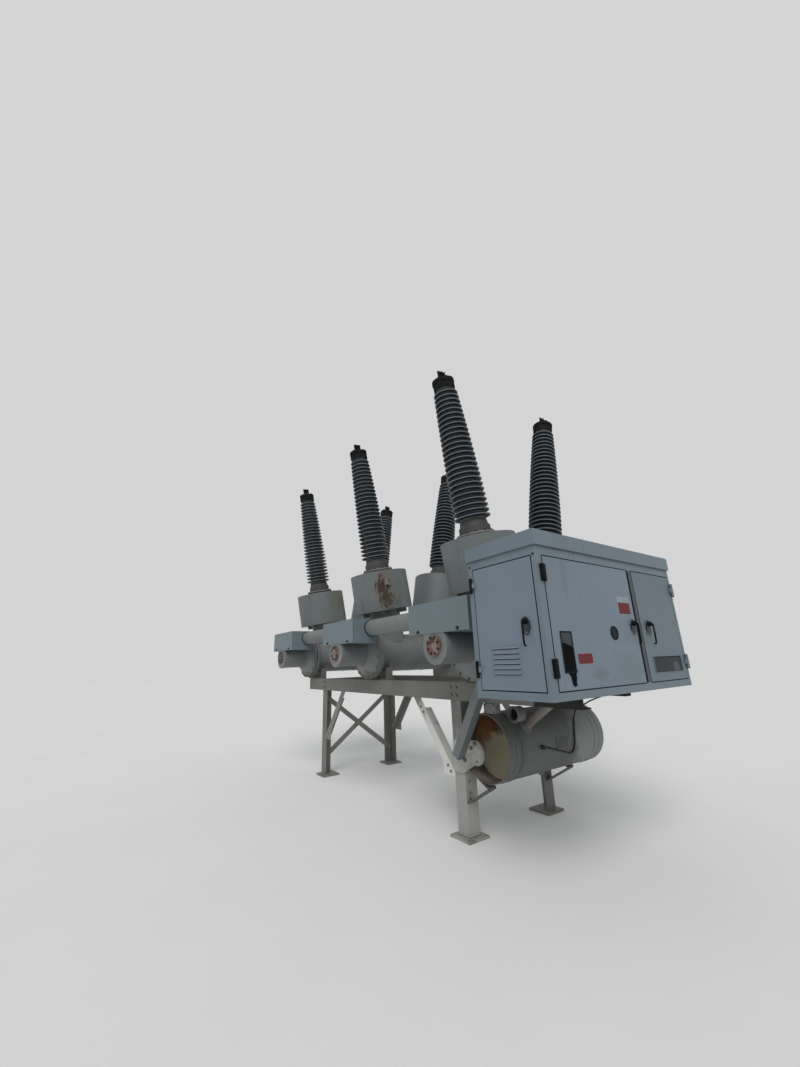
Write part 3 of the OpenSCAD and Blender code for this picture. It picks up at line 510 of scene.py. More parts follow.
# A darker copy of the frame paint for the bearers: painted shade.
BEARER_PAINT_SHADED = replace(FRAME_PAINT, title="bearer paint with painted shade", colour="2b2a2a", second="363433",
                       shine=0.2, dust=("6d675d", 0.4))
DISC_PAINT = Finish(
    "disc paint", "5f423c", "8a7b74", 0.62, cloud=(20.0, 0.7), dust=("938c80", 0.05),
    tinges=(Tinge("8d8178", (1.768, -1.11, 1.505), (0.055, 0.05, 0.065), 0.8, 34.0),
            Tinge("7b3541", (1.73, -1.11, 1.485), (0.045, 0.05, 0.03), 0.85, 34.0),
            Tinge("4c2c24", (1.74, -1.11, 1.56), (0.06, 0.05, 0.03), 0.8, 40.0),
            Tinge("45302e", (0.0, -1.11, 1.53), (0.12, 0.1, 0.12), 0.85, 24.0),
            Tinge("8f857f", (0.0, -1.11, 1.53), (0.1, 0.1, 0.1), 0.8, 60.0, 5.0),
            Tinge("62605d", (-1.75, -1.11, 1.53), (0.4, 0.3, 0.4), 0.95, 5.0)))
SEALANT_FINISH = Finish(
    "flange sealant", "85805c", "6f6a4c", 0.72, cloud=(12.0, 0.8), dust=("7d786c", 0.2),
    tinges=(Tinge("2a2826", (-1.75, -0.66, 1.53), (0.7, 0.4, 0.7), 1.0, 2.0),
            Tinge("6a6c68", (1.75, 0.0, 1.53), (0.7, 1.2, 0.7), 0.85, 3.0)))
RUBBER_FINISH = Finish("black rubber", "17181a", "232425", 0.75, cloud=(20.0, 0.6),
                       dust=("4f4c48", 0.2), grain=(500.0, 0.0002, 0.0))
CAP_FINISH = Finish("weathered cap metal", "17191b", "212426", 0.72, shine=0.1,
                    cloud=(9.0, 0.7), drips=("141617", 30.0, 0.4), dust=("56534e", 0.2),
                    grain=(220.0, 0.0006, 0.0))
BLACK_FINISH = Finish("black fittings", "0b0d0f", "121518", 0.5, shine=0.12,
                      cloud=(18.0, 0.6), dust=("33312f", 0.05), grain=(380.0, 0.0002, 0.0))
ROSE_FINISH = Finish("handle plates", "2f383c", "262d30", 0.5, 0.1, cloud=(16.0, 0.8),
                     dust=("66645f", 0.15), grain=(380.0, 0.0002, 0.0))
# The pale patch at the rear of the shell is painted light, and the darker band at its front is
# painted shade.
RECEIVER_PAINT_LIT_SHADED = Finish(
    "receiver paint with painted light and shade", "5e615f", "535654", 0.54, cloud=(1.9, 0.8), drips=("46423d", 22.0, 0.35),
    rust=("54331f", 26.0, 0.18), dust=("7f796e", 0.4),
    tinges=(Tinge("8f9491", (1.93, 0.62, 0.75), (0.3, 0.42, 0.5), 0.85, 4.0),
            Tinge("4d514f", (1.93, -0.42, 0.72), (0.3, 0.06, 0.4), 0.35, 6.0),
            Tinge("a08c80", (1.55, -0.52, 0.52), (0.2, 0.05, 0.16), 0.75, 12.0),
            Tinge("8f7f76", (1.46, -0.5, 0.66), (0.06, 0.07, 0.2), 0.6, 16.0)))
# The dark brown at the top of the head is rust with painted shade under the skirt's rim.
HEAD_PAINT_SHADED = Finish(
    "receiver head with rust and painted shade", "9c947d", "8f8770", 0.64, cloud=(3.0, 0.6), drips=("7b6845", 16.0, 0.3),
    rust=("6a3418", 30.0, 0.15), dust=("8d846f", 0.1),
    tinges=(Tinge("4d2a1c", (1.62, -0.41, 0.9), (0.2, 0.2, 0.14), 0.95, 14.0),
            Tinge("3c2018", (1.72, -0.43, 0.95), (0.16, 0.16, 0.07), 0.9, 18.0),
            Tinge("7d4e2a", (1.5, -0.42, 0.83), (0.13, 0.2, 0.16), 0.8, 14.0),
            Tinge("7c6140", (1.47, -0.42, 0.66), (0.05, 0.2, 0.22), 0.75, 18.0)))
RUST_LINE = Finish("rusted seam", "7f4c1c", "532a15", 0.8, cloud=(14.0, 0.9),
                   dust=("8d846f", 0.05), grain=(200.0, 0.0008, 0.0))
CASTING_FINISH = Finish("valve casting", "7a7c79", "6a6b68", 0.56, 0.0, cloud=(10.0, 0.7),
                        drips=("4f4a40", 30.0, 0.4), dust=("8a857a", 0.3),
                        grain=(260.0, 0.0006, 0.0))
FEED_FINISH = Finish("feed pipe paint", "7e7671", "6d6661", 0.6, cloud=(7.0, 0.7),
                     drips=("5a4f45", 30.0, 0.4), rust=("5e3826", 30.0, 0.3),
                     dust=("98918a", 0.3))
GLAZE = Finish("grey glaze", "474f56", "3e464d", 0.38, coat=0.1, shine=0.3, cloud=(3.0, 0.6),
               drips=("2c2e2e", 22.0, 0.4), dust=("62635f", 0.3), grain=(60.0, 0.0001, 0.0))
# The pale shed rims are painted highlight.
GLAZE_RIM_LIT = replace(GLAZE, title="glaze rim with painted highlight", colour="6d757a", second="60686d",
                    drips=("4c4e4d", 22.0, 0.4), dust=("85867f", 0.3))
# The dark undersides of the sheds are painted shade.
GLAZE_UNDER_SHADE = replace(GLAZE, title="painted shade under the sheds", colour="343b41",
                      second="2b3237", roughness=0.6, coat=0.0, shine=0.15)
CEMENT = Finish("bushing cement", "76736b", "5d5a54", 0.85, cloud=(24.0, 0.8),
                grain=(140.0, 0.001, 0.0))
ZINC = Finish("zinc fasteners", "757777", "5b5d5d", 0.48, 0.6, cloud=(40.0, 0.8),
              rust=("5e3826", 60.0, 0.35), dust=("878177", 0.2), grain=(400.0, 0.0002, 0.0))
DARK_BOLT = Finish("dark fasteners", "242526", "34322f", 0.5, 0.4, cloud=(50.0, 0.7),
                   rust=("4d2c1e", 60.0, 0.4), dust=("67625b", 0.15),
                   grain=(400.0, 0.0002, 0.0))
DARK_GLASS = Finish("dark window glass", "131a21", "1b2329", 0.42, shine=0.12,
                    cloud=(5.0, 0.6), drips=("40464a", 24.0, 0.3), dust=("545758", 0.1),
                    grain=(40.0, 0.00005, 0.0004))
GREY_GLASS = Finish("grey window glass", "31393f", "3c444a", 0.4, shine=0.2, cloud=(7.0, 0.7),
                    drips=("3d4346", 24.0, 0.4), grain=(40.0, 0.00005, 0.0004))
SMALL_GLASS = replace(GREY_GLASS, title="small window glass", colour="1b2228",
                      second="242b31", tinges=(
    Tinge("5b656d", (2.833, 0.43, 1.315), (0.08, 0.06, 0.05), 0.7, 24.0, 0.7),))
FILM = Finish("peeling black film", "05080c", "0b0f13", 0.7, shine=0.06, cloud=(30.0, 0.6),
              grain=(90.0, 0.001, 0.002))
RED_PLATE = Finish("faded red plate", "6b2226", "6a3a3c", 0.6, shine=0.2, cloud=(55.0, 0.9),
                   dust=("8b6f6c", 0.15))
PALE_PLATE = Finish("pale plate", "8f969b", "81888d", 0.45, cloud=(20.0, 0.6))
GREY_PLATE = Finish("bare plate", "494c4d", "424546", 0.5, 0.2, cloud=(24.0, 0.6))
# Dark joints, and the strips of painted shade at the door gaps, the small window and the valve
# bore.
SEAM_SHADE = Finish("dark joint and painted shade", "14191c", "1f2528", 0.85, shine=0.1, cloud=(20.0, 0.5))
PILLAR_SHADE = replace(CABINET_PAINT, title="shaded pillar", colour="3f484f", second="38414a")


def aim(origin: Vec, axis: Vec, side: Vec = (0.0, 0.0, 1.0)) -> Matrix:
    """Makes a frame whose Z runs along an axis.

    Args:
        origin: The frame's origin.
        axis: The direction of its Z.
        side: The direction that its X comes as near to as it can.

    Returns:
        The frame as a matrix.
    """
    z = Vector(axis).normalized()
    x = Vector(side) - z * Vector(side).dot(z)
    if x.length < 1e-6:
        x = z.orthogonal()
    x.normalize()
    matrix = Matrix((x, z.cross(x), z)).transposed().to_4x4()
    matrix.translation = Vector(origin)
    return matrix


def shift(at: Matrix, x: float = 0.0, y: float = 0.0, z: float = 0.0) -> Matrix:
    """The frame, moved along its own axes."""
    return at @ Matrix.Translation((x, y, z))


def spin(at: Matrix, turn: float, axis: str = "Z") -> Matrix:
    """The frame, turned about one of its own axes by an angle in radians."""
    return at @ Matrix.Rotation(turn, 4, axis)


def along_bushing(pole: int, side: int) -> Matrix:
    """The frame of one bushing, with Z along its axis from the tank's axis."""
    foot = Matrix.Translation((pole * POLE_PITCH, side * BUSHING_FOOT, AXIS_HEIGHT))
    return spin(foot, -side * BUSHING_LEAN, "X")


def steps_between(a: Vec, b: Vec, steps: int, count: int) -> list[tuple[float, ...]]:
    """The first points of a line from a to b that is cut into even steps.

    Args:
        a: Where the line starts.
        b: Where it ends.
        steps: Number of steps in the whole line.
        count: Number of points that are wanted.

    Returns:
        The points in order, the start first.
    """
    return [tuple(p + (q - p) * k / steps for p, q in zip(a, b)) for k in range(count)]


def circle(radius: float, count: int, start: float = 0.0) -> list[tuple[float, float, float]]:
    """Points spread evenly on a circle: x, y and the angle in radians."""
    turns = [math.radians(start) + k * math.tau / count for k in range(count)]
    return [(radius * math.cos(a), radius * math.sin(a), a) for a in turns]


class Shape:
    """A mesh piece put together from turned, extruded and swept solids."""

    def __init__(self, name: str) -> None:
        """Starts an empty piece with the given name."""
        self.name = name
        self.bm = bmesh.new()

    def turn(self, profile: Iterable[Vec], at: Matrix = Matrix(), steps: int = 48,
             look: int = 0, looks: Sequence[int] | None = None) -> None:
        """Turns a profile round the frame's Z.

        Args:
            profile: Radius and height of each point.
            at: The frame.
            steps: Number of sides.
            look: Material place of all faces.
            looks: Material place of each band, instead of look.
        """
        rings = []
        for radius, height in profile:
            if radius < 1e-6:
                rings.append([self.bm.verts.new(at @ Vector((0, 0, height)))])
            else:
                rings.append([self.bm.verts.new(at @ Vector((x, y, height)))
                              for x, y, _ in circle(radius, steps)])
        for band, (a, b) in enumerate(zip(rings, rings[1:])):
            for k in range(steps):
                j = (k + 1) % steps
                corners = [a[k % len(a)], a[j % len(a)], b[j % len(b)], b[k % len(b)]]
                unique = list(dict.fromkeys(corners))
                if len(unique) > 2:
                    face = self.bm.faces.new(unique)
                    face.material_index = looks[band] if looks else look

    def prism(self, outline: Sequence[Vec], low: float, high: float, at: Matrix = Matrix(),
              chamfer: float = 0.0, look: int = 0) -> None:
        """Extrudes an outline along the frame's Z.

        Args:
            outline: Corners in order, as x and y.
            low: Height of the first face.
            high: Height of the second face.
            at: The frame.
            chamfer: Width of the broken edges.
            look: Material place of the faces.
        """
        ends = [[self.bm.verts.new(at @ Vector((p[0], p[1], h))) for p in outline]
                for h in (low, high)]
        faces = [self.bm.faces.new(ends[0][::-1]), self.bm.faces.new(ends[1])]
        for k in range(len(outline)):
            j = (k + 1) % len(outline)
            faces.append(self.bm.faces.new([ends[0][k], ends[0][j], ends[1][j], ends[1][k]]))
        for face in faces:
            face.material_index = look
        if chamfer > 0:
            edges = list(dict.fromkeys(e for f in faces for e in f.edges))
            bmesh.ops.bevel(self.bm, geom=edges, offset=chamfer, segments=1, affect="EDGES",
                            profile=0.5, clamp_overlap=True, material=look)

    def block(self, low: Vec, high: Vec, at: Matrix = Matrix(), chamfer: float = 0.0015,
              look: int = 0) -> None:
        """Adds a block with broken edges between two corners of the frame."""
        outline = [(low[0], low[1]), (high[0], low[1]), (high[0], high[1]), (low[0], high[1])]
        self.prism(outline, low[2], high[2], at, chamfer, look)

    def border(self, low: Vec, high: Vec, wide: float, thick: float, at: Matrix,
               chamfer: float) -> None:
        """Lays four flat strips round an opening, on the frame's XY plane.

        Args:
            low: The lower left corner, as x and y.
            high: The upper right corner.
            wide: Width of the strips.
            thick: How far they stand out.
            at: The frame.
            chamfer: Width of the broken edges.
        """
        for a, b in (((low[0], low[1]), (high[0], low[1] + wide)),
                     ((low[0], high[1] - wide), (high[0], high[1])),
                     ((low[0], low[1] + wide), (low[0] + wide, high[1] - wide)),
                     ((high[0] - wide, low[1] + wide), (high[0], high[1] - wide))):
            self.block((*a, 0.0), (*b, thick), at, chamfer)

    def button(self, at: Matrix, radius: float, chamfer: float, shoulder: float, top: float,
               steps: int, look: int = 0) -> None:
        """Turns a flat round head with a broken edge.

        Args:
            at: The frame, with Z out of the surface.
            radius: The head's radius.
            chamfer: How much smaller the top's radius is.
            shoulder: Height at which the edge breaks.
            top: The head's height.
            steps: Number of sides.
            look: Material place of the faces.
        """
        self.turn([(radius, 0.0), (radius, shoulder), (radius - chamfer, top), (0.0, top)],
                  at, steps, look)

    def bolt(self, at: Matrix, size: float = 0.016, stud: float = 0.0, look: int = 0) -> None:
        """Adds a hexagon head or nut on its washer, standing on the frame's XY plane.

        Args:
            at: The frame, with Z out of the surface.
            size: The thread's diameter.
            stud: Length of thread that stands out of a nut.
            look: Material place of the faces.
        """
        top = 0.8 * size
        self.turn([(1.05 * size, 0), (1.05 * size, 0.14 * size), (0, 0.14 * size)], at, 14,
                  look)
        self.turn([(0.9 * size, 0.14 * size), (0.9 * size, 0.7 * size),
                   (0.78 * size, top), (0, top)], at, 6, look)
        if stud > 0:
            self.turn([(0.5 * size, top), (0.5 * size, top + stud - 0.1 * size),
                       (0.38 * size, top + stud), (0, top + stud)], at, 10, look)

    def tube(self, points: Sequence[Vec], radius: float, steps: int = 12, look: int = 0,
             jitter: float = 0.0, closed: bool = False) -> None:
        """Sweeps a round section along points.

        Args:
            points: The path.
            radius: The section's radius.
            steps: Number of sides.
            look: Material place of the faces.
            jitter: Share by which the radius wanders, for weld beads.
            closed: Joins the last point to the first.
        """
        path = [Vector(p) for p in points]
        last = len(path) - 1
        chance = random.Random(len(path) * 7 + steps)
        across = Vector((0, 0, 0))
        rings = []
        for k, point in enumerate(path):
            before = path[k - 1] if k or closed else point
            after = path[(k + 1) % len(path)] if k < last or closed else point
            ahead = (after - before).normalized()
            if across.length < 0.5:
                across = ahead.orthogonal().normalized()
            across = (across - ahead * across.dot(ahead)).normalized()
            up = ahead.cross(across)
            size = radius * (1 + chance.uniform(-jitter, jitter))
            rings.append([self.bm.verts.new(point + (across * x + up * y) * size)
                          for x, y, _ in circle(1.0, steps)])
        pairs = list(zip(rings, rings[1:])) + ([(rings[-1], rings[0])] if closed else [])
        for a, b in pairs:
            for k in range(steps):
                j = (k + 1) % steps
                self.bm.faces.new([a[k], a[j], b[j], b[k]]).material_index = look
        if not closed:
            self.bm.faces.new(rings[0][::-1]).material_index = look
            self.bm.faces.new(rings[-1]).material_index = look

    def ring(self, at: Matrix, radius: float, thick: float, steps: int = 64, look: int = 0,
             jitter: float = 0.0) -> None:
        """Lays a round bead on a circle in the frame's XY plane."""
        path = [at @ Vector((x, y, 0)) for x, y, _ in circle(radius, steps)]
        self.tube(path, thick, 8, look, jitter, closed=True)

    def make(self, body: str, slot: Slot, *finishes: Finish,
             crease: float = 32.0) -> bpy.types.Object:
        """Turns the mesh into a piece of the scene.

        Args:
            body: The body that it rides on.
            slot: The record's slot of the piece; not used.
            finishes: Its finishes, in the order of the material places.
            crease: Angle in degrees from which an edge stays sharp.

        Returns:
            The new object.
        """
        bmesh.ops.recalc_face_normals(self.bm, faces=self.bm.faces)
        for face in self.bm.faces:
            face.smooth = True
        for edge in self.bm.edges:
            flat = len(edge.link_faces) == 2
            edge.smooth = flat and edge.calc_face_angle(0.0) < math.radians(crease)
        mesh = bpy.data.meshes.new(self.name)
        self.bm.to_mesh(mesh)
        self.bm.free()
        for finish in finishes:
            mesh.materials.append(finish.build())
        piece = bpy.data.objects.new(self.name, mesh)
        bpy.context.scene.collection.objects.link(piece)
        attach(piece, body)
        LOG.info("made %s: %d faces on %s", self.name, len(mesh.polygons), body)
        return piece


def coat(finish: Finish, *nodes: str) -> None:
    """Gives CAD nodes a finish.

    Args:
        finish: The finish.
        nodes: Names of the nodes, or their common beginnings.
    """
    material = finish.build()
    for name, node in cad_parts.items():
        if not any(name.startswith(start) for start in nodes):
            continue
        if not node.material_slots:
            node.data.materials.append(material)
        for place in node.material_slots:
            place.material = material
        node["dressed"] = True
        LOG.info("coated %s with %s", name, finish.title)


@dataclass
class SteelFrame:
    """The welded and bolted frame: beams, legs, braces and saddles."""

    web_y: float = 0.585
    leg_face_x: float = 1.43
    leg_face_y: float = 0.57
    leg_w: float = 0.127
    foot_top: float = 0.0225
    beam_low: float = 1.071
    beam_high: float = 1.223
    beam_bolt_in: float = 0.063
    beam_bolt_dx: float = 0.035
    beam_bolt_z: tuple[float, float] = (1.115, 1.18)
    brace_slope: float = math.radians(52.0)
    brace_start: tuple[float, float, float] = (0.0315, 0.008, 0.494 - 0.0246)
    brace_bolts: tuple[float, ...] = (0.02, 0.075, 0.6, 0.66)
    joint_bolts: tuple[tuple[float, float], ...] = ((1.461, 0.604), (1.546, 0.707),
                                                    (1.592, 0.746))
    saddle_y: float = 0.54
    saddle_foot: float = 0.014
    saddle_bolts: tuple[float, float] = (0.09, 0.19)
    box_low: tuple[float, float, float] = (1.73, -0.578, 0.995)
    box_back: float = -0.515
    box_right: float = 1.85

    def build(self) -> None:
        """Dresses the nodes and adds bolts, welds and the small box."""
        coat(FRAME_PAINT, "main_beams", "cross_beams", "tank_saddles")
        coat(BEARER_PAINT_SHADED, "cabinet_bearers")
        coat(LEG_PAINT_LIT, "legs", "foot_plates")
        coat(BRACE_PAINT_LIT, "joint_plate", "end_braces")
        coat(KNEE_PAINT_LIT, "knee_braces")
        coat(OUTER_PAINT, "outer_brace")
        self.bolts()
        self.welds()
        self.cable_box()

    def bolts(self) -> None:
        """Puts the bolts in the beams, knee braces, joint plate and saddles."""
        shape = Shape("frame_bolts")
        aside, out_of_leg, start = self.brace_start
        for sx, sy in CORNERS:
            out = (0, sy, 0)
            for z in self.beam_bolt_z:
                for dx in (-self.beam_bolt_dx, self.beam_bolt_dx):
                    x = sx * (self.leg_face_x - self.beam_bolt_in) + dx
                    shape.bolt(aim((x, sy * self.web_y, z), out))
            for far in self.brace_bolts:
                x = self.leg_face_x - self.leg_w - far * math.cos(self.brace_slope) - aside
                z = start + far * math.sin(self.brace_slope)
                shape.bolt(aim((sx * x, sy * (self.leg_face_y + out_of_leg), z), out), 0.012)
        for x, z in self.joint_bolts:
            shape.bolt(aim((x, -self.web_y, z), FORWARD), stud=0.012, look=1)
        for pole in POLES:
            for sx, sy in CORNERS:
                for dx in self.saddle_bolts:
                    spot = (pole * POLE_PITCH + sx * dx, sy * self.saddle_y,
                            self.beam_high + self.saddle_foot)
                    shape.bolt(aim(spot, UP), stud=0.014, look=1)
        shape.make("body", Slot.FRAME, FRAME_PAINT, ZINC)

    def welds(self) -> None:
        """Runs weld beads round the foot of each leg."""
        shape = Shape("foot_welds")
        steps = 12
        for sx, sy in CORNERS:
            x, y = sx * self.leg_face_x, sy * self.leg_face_y
            corners = [(x - sx * self.leg_w, y, self.foot_top), (x, y, self.foot_top),
                       (x, y - sy * self.leg_w, self.foot_top)]
            path = [point for a, b in zip(corners, corners[1:])
                    for point in steps_between(a, b, steps, steps + 1)]
            shape.tube(path, 0.0045, 6, jitter=0.3)
        shape.make("body", Slot.FRAME, FRAME_PAINT, crease=60.0)

    def cable_box(self) -> None:
        """Hangs the small pale box under the front beam, with its lid and four screws."""
        shape = Shape("beam_junction_box")
        left, front, low = self.box_low
        lid, lip, lid_high = 0.005, 0.006, 1.066
        shape.block(self.box_low, (self.box_right, self.box_back, self.beam_low),
                    chamfer=0.004)
        shape.block((left - lip, front - lid, low - lid),
                    (self.box_right + lip, front, lid_high), chamfer=0.001)
        for x in (left + 0.01, self.box_right - 0.01):
            for z in (low + 0.005, lid_high - 0.01):
                shape.bolt(aim((x, front - lid, z), FORWARD), 0.006, look=1)
        shape.make("body", Slot.CASTING, CASTING_FINISH, DARK_BOLT)


@dataclass
class Pole:
    """One horizontal tank with its drive end, rear cover, necks and cans."""

    number: int
    shell_r: float = 0.2165
    flange_r: float = 0.285
    inner_face: float = 0.615
    outer_face: float = 0.698
    gasket_y: float = 0.6565
    bolt_ring: float = 0.2735
    bolt_count: int = 16
    disc_front: float = 1.11
    disc_bolt_ring: float = 0.065
    end_weld: tuple[float, float, float] = (0.612, 0.217, 0.004)
    middle_weld: tuple[float, float, float] = (0.095, 0.2155, 0.003)
    neck_r: float = 0.187
    can_start: float = 0.507
    can_end: float = 0.967
    can_r: float = 0.35
    can_bolt_ring: float = 0.328
    pad_turns: tuple[float, ...] = (35.0, 145.0, 215.0, 325.0)

    @property
    def name(self) -> str:
        """The pole's place in the row."""
        return POLES[self.number]

    def at(self, y: float, toward: int) -> Matrix:
        """A frame on the tank's axis at a given Y, with Z towards -Y or +Y."""
        return aim((self.number * POLE_PITCH, y, AXIS_HEIGHT), (0, toward, 0))

    def spot(self, x: float, y: float, z: float) -> tuple[float, float, float]:
        """A point given from the middle of the tank's axis."""
        return (self.number * POLE_PITCH + x, y, AXIS_HEIGHT + z)

    def build(self) -> None:
        """Builds all of the pole's small pieces."""
        self.flange_bolts()
        self.disc_bolts()
        self.seams()
        for side in SIDES:
            self.can(side)

    def flange_bolts(self) -> None:
        """Puts bolts through both end flanges, with nuts on the tank's side."""
        shape = Shape(f"flange_bolts_{self.name}")
        for side in SIDES:
            for x, z, _ in circle(self.bolt_ring, self.bolt_count, 11.25):
                for y, toward in ((self.outer_face, side), (self.inner_face, -side)):
                    shape.bolt(aim(self.spot(x, side * y, z), (0, toward, 0)), 0.0105, 0.007)
        shape.make("body", Slot.TANK, ZINC)

    def disc_bolts(self) -> None:
        """Puts the dark bolts and the small centre plug on the drive disc."""
        shape = Shape(f"disc_bolts_{self.name}")
        for x, z, _ in circle(self.disc_bolt_ring, 8, 22.5):
            shape.bolt(aim(self.spot(x, -self.disc_front, z), FORWARD), 0.011)
        shape.button(self.at(-self.disc_front, -1), 0.022, 0.004, 0.003, 0.005, 24, 1)
        shape.make("body", Slot.DISC, DARK_BOLT, DISC_PAINT)

    def seams(self) -> None:
        """Lays the sealant line and the weld seams on the tank and round its necks."""
        shape = Shape(f"tank_seams_{self.name}")
        inner, outer = self.flange_r - 0.001, self.flange_r + 0.0012
        for side in SIDES:
            shape.turn([(inner, -0.006), (outer, -0.0045), (outer, 0.0045), (inner, 0.006)],
                       self.at(side * self.gasket_y, side), 96, 1)
            for y, radius, thick in (self.end_weld, self.middle_weld):
                shape.ring(self.at(side * y, side), radius, thick, 72, jitter=0.2)
            at = along_bushing(self.number, side)
            path = []
            for x, y, _ in circle(self.neck_r, 64):
                crown = math.sqrt(max(self.shell_r ** 2 - x ** 2, 0.0))
                height = crown / math.cos(BUSHING_LEAN) + side * y * math.tan(BUSHING_LEAN)
                path.append(at @ Vector((x, y, height)))
            shape.tube(path, 0.005, 8, jitter=0.2, closed=True)
        shape.make("body", Slot.TANK, TANK_PAINT, SEALANT_FINISH, crease=60.0)

    def can(self, side: int) -> None:
        """Adds rims, stand-off blocks, top bolts and a bottom plate to one can.

        Args:
            side: -1 for the front can, 1 for the rear one.
        """
        at = along_bushing(self.number, side)
        shape = Shape(f"can_trim_{self.name}_{SIDES[side]}")
        for height, rise in ((self.can_start, -0.003), (self.can_end, 0.003)):
            shape.turn([(self.can_r - 0.013, height), (self.can_r - 0.012, height + rise),
                        (self.can_r - 0.002, height + rise), (self.can_r - 0.0008, height)],
                       at, 96)
        for turn in self.pad_turns:
            shape.block((0.183, -0.022, self.can_start - 0.05),
                        (0.285, 0.022, self.can_start), spin(at, math.radians(turn)), 0.003)
        for x, y, _ in circle(self.can_bolt_ring, 12, 15.0):
            shape.bolt(shift(at, x, y, self.can_end), 0.01, look=1)
        plate_r, plate_t = 0.2, 0.014
        shape.turn([(plate_r, self.can_start - plate_t), (plate_r, self.can_start),
                    (0.0, self.can_start)], at, 64)
        shape.make("body", Slot.TANK, CAN_PAINT, DARK_BOLT)


@dataclass
class Bushing:
    """One porcelain bushing with its flange bolts, cap bolts and terminal bolts.

    Heights run along the bushing from the tank's axis.
    """

    number: int
    side: int
    shed_count: int = 26
    pitch: float = 0.0515
    first: float = 1.187
    base: float = 0.967
    flange_low: float = 0.992
    flange_high: float = 1.02
    flange_r: float = 0.185
    flange_bolt_ring: float = 0.168
    collar_r: float = 0.148
    low: float = 1.157
    top: float = 2.5145
    cap_lugs: tuple[float, float] = (2.5165, 2.5895)
    cap_top: float = 2.6245
    cap_bolt_ring: float = 0.098
    pad_z: float = 2.7117
    pad_half: float = 0.008
    pad_hole_dy: float = 0.0222
    rim_low: float = 0.175
    rim_top: float = 0.122
    core_low: float = 0.118
    core_top: float = 0.084
    thick: float = 0.009

    @property
    def name(self) -> str:
        """The bushing's place in the row and its side."""
        return f"{POLES[self.number]}_{SIDES[self.side]}"

    def profile(self) -> tuple[list[tuple[float, float]], list[int]]:
        """Draws the section of the sheds.

        Returns:
            The points from the bottom up, and the material place of each band.
        """
        points = [(self.core_low, self.low)]
        looks: list[int] = []
        t = self.thick
        for k in range(self.shed_count):
            part = k / (self.shed_count - 1)
            s = self.first + k * self.pitch
            rim = self.rim_low - (self.rim_low - self.rim_top) * part ** 1.5
            core = self.core_low - (self.core_low - self.core_top) * part
            points += [(core, s - t - 0.006), (core + 0.005, s - t + 0.001),
                       (rim - 0.012, s - t), (rim - 0.004, s - t - 0.001),
                       (rim - 0.0005, s - 0.75 * t), (rim, s - 0.4 * t),
                       (rim - 0.001, s - 0.1 * t), (rim - 0.005, s + 0.001),
                       (core + 0.012, s + 0.0115), (core + 0.003, s + 0.0155),
                       (core, s + 0.023)]
            # Looks: 0 the glaze, 1 the pale rim with painted highlight, 2 painted shade under the
            # shed.
            looks += [0, 2, 2, 0, 1, 1, 1, 1, 0, 0, 0]
        points.append((self.core_top, self.top))
        looks.append(0)
        return points, looks

    def build(self) -> None:
        """Builds the sheds and what holds them at both ends."""
        at = along_bushing(self.number, self.side)
        points, looks = self.profile()
        shape = Shape(f"sheds_{self.name}")
        shape.turn(points, at, 56, looks=looks)
        piece = shape.make("body", Slot.PORCELAIN, GLAZE, GLAZE_RIM_LIT, GLAZE_UNDER_SHADE, crease=50.0)
        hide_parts(f"porcelain_{SIDES[self.side]}")
        self.foot(at)
        self.fasteners(at)
        self.seals(at)

    def foot(self, at: Matrix) -> None:
        """Turns the flange with its pale edge of painted highlight, the collar and the shoulder.

        Args:
            at: The bushing's frame.
        """
        shape = Shape(f"bushing_base_{self.name}")
        spigot, collar, edge = 0.15, self.collar_r, self.flange_r
        high, low = self.flange_high, self.low
        shape.turn([(0.0, self.base), (spigot, self.base), (spigot, self.flange_low),
                    (edge - 0.004, self.flange_low), (edge, self.flange_low + 0.0035),
                    (edge, 1.008), (edge, high - 0.0035), (edge - 0.003, high),
                    (collar + 0.006, high), (collar + 0.001, high + 0.003),
                    (collar, high + 0.01), (collar, 1.088), (collar - 0.0025, 1.092),
                    (collar - 0.011, 1.0925), (collar - 0.012, 1.096),
                    (0.1255, low - 0.007), (0.122, low), (0.0, low)], at, 72,
                   looks=[0] * 5 + [1] * 3 + [0] * 9)
        piece = shape.make("body", Slot.TANK, FLANGE_PAINT, FLANGE_EDGE_LIT, crease=30.0)
        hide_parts("bushing_flanges")

    def fasteners(self, at: Matrix) -> None:
        """Adds the bolts of the flange, cap and terminal, the lugs and the stud's ring.

        Args:
            at: The bushing's frame.
        """
        shape = Shape(f"bushing_fittings_{self.name}")
        for x, y, _ in circle(self.flange_bolt_ring, 12, 15.0):
            shape.bolt(shift(at, x, y, self.flange_high), 0.012, 0.006)
            shape.bolt(spin(shift(at, x, y, self.flange_low), math.pi, "X"), 0.012, 0.005)
        for x, y, turn in circle(self.cap_bolt_ring, 8, 22.5):
            shape.bolt(shift(at, x, y, self.cap_top), 0.012, 0.006)
            shape.block((-0.006, -0.014, self.cap_lugs[0]), (0.012, 0.014, self.cap_lugs[1]),
                        spin(shift(at, x, y), turn), 0.003)
        top = self.cap_top
        shape.turn([(0.0, top), (0.05, top), (0.05, top + 0.0075), (0.044, top + 0.0115),
                    (0.0, top + 0.0115)], at, 32)
        for dy in (-self.pad_hole_dy, self.pad_hole_dy):
            for toward in SIDES:
                spot = shift(at, toward * self.pad_half, dy, self.pad_z)
                shape.bolt(spin(spot, toward * math.pi / 2, "Y"), 0.0125,
                           0.02 if toward > 0 else 0.0)
        shape.make("body", Slot.CAP, CAP_FINISH)

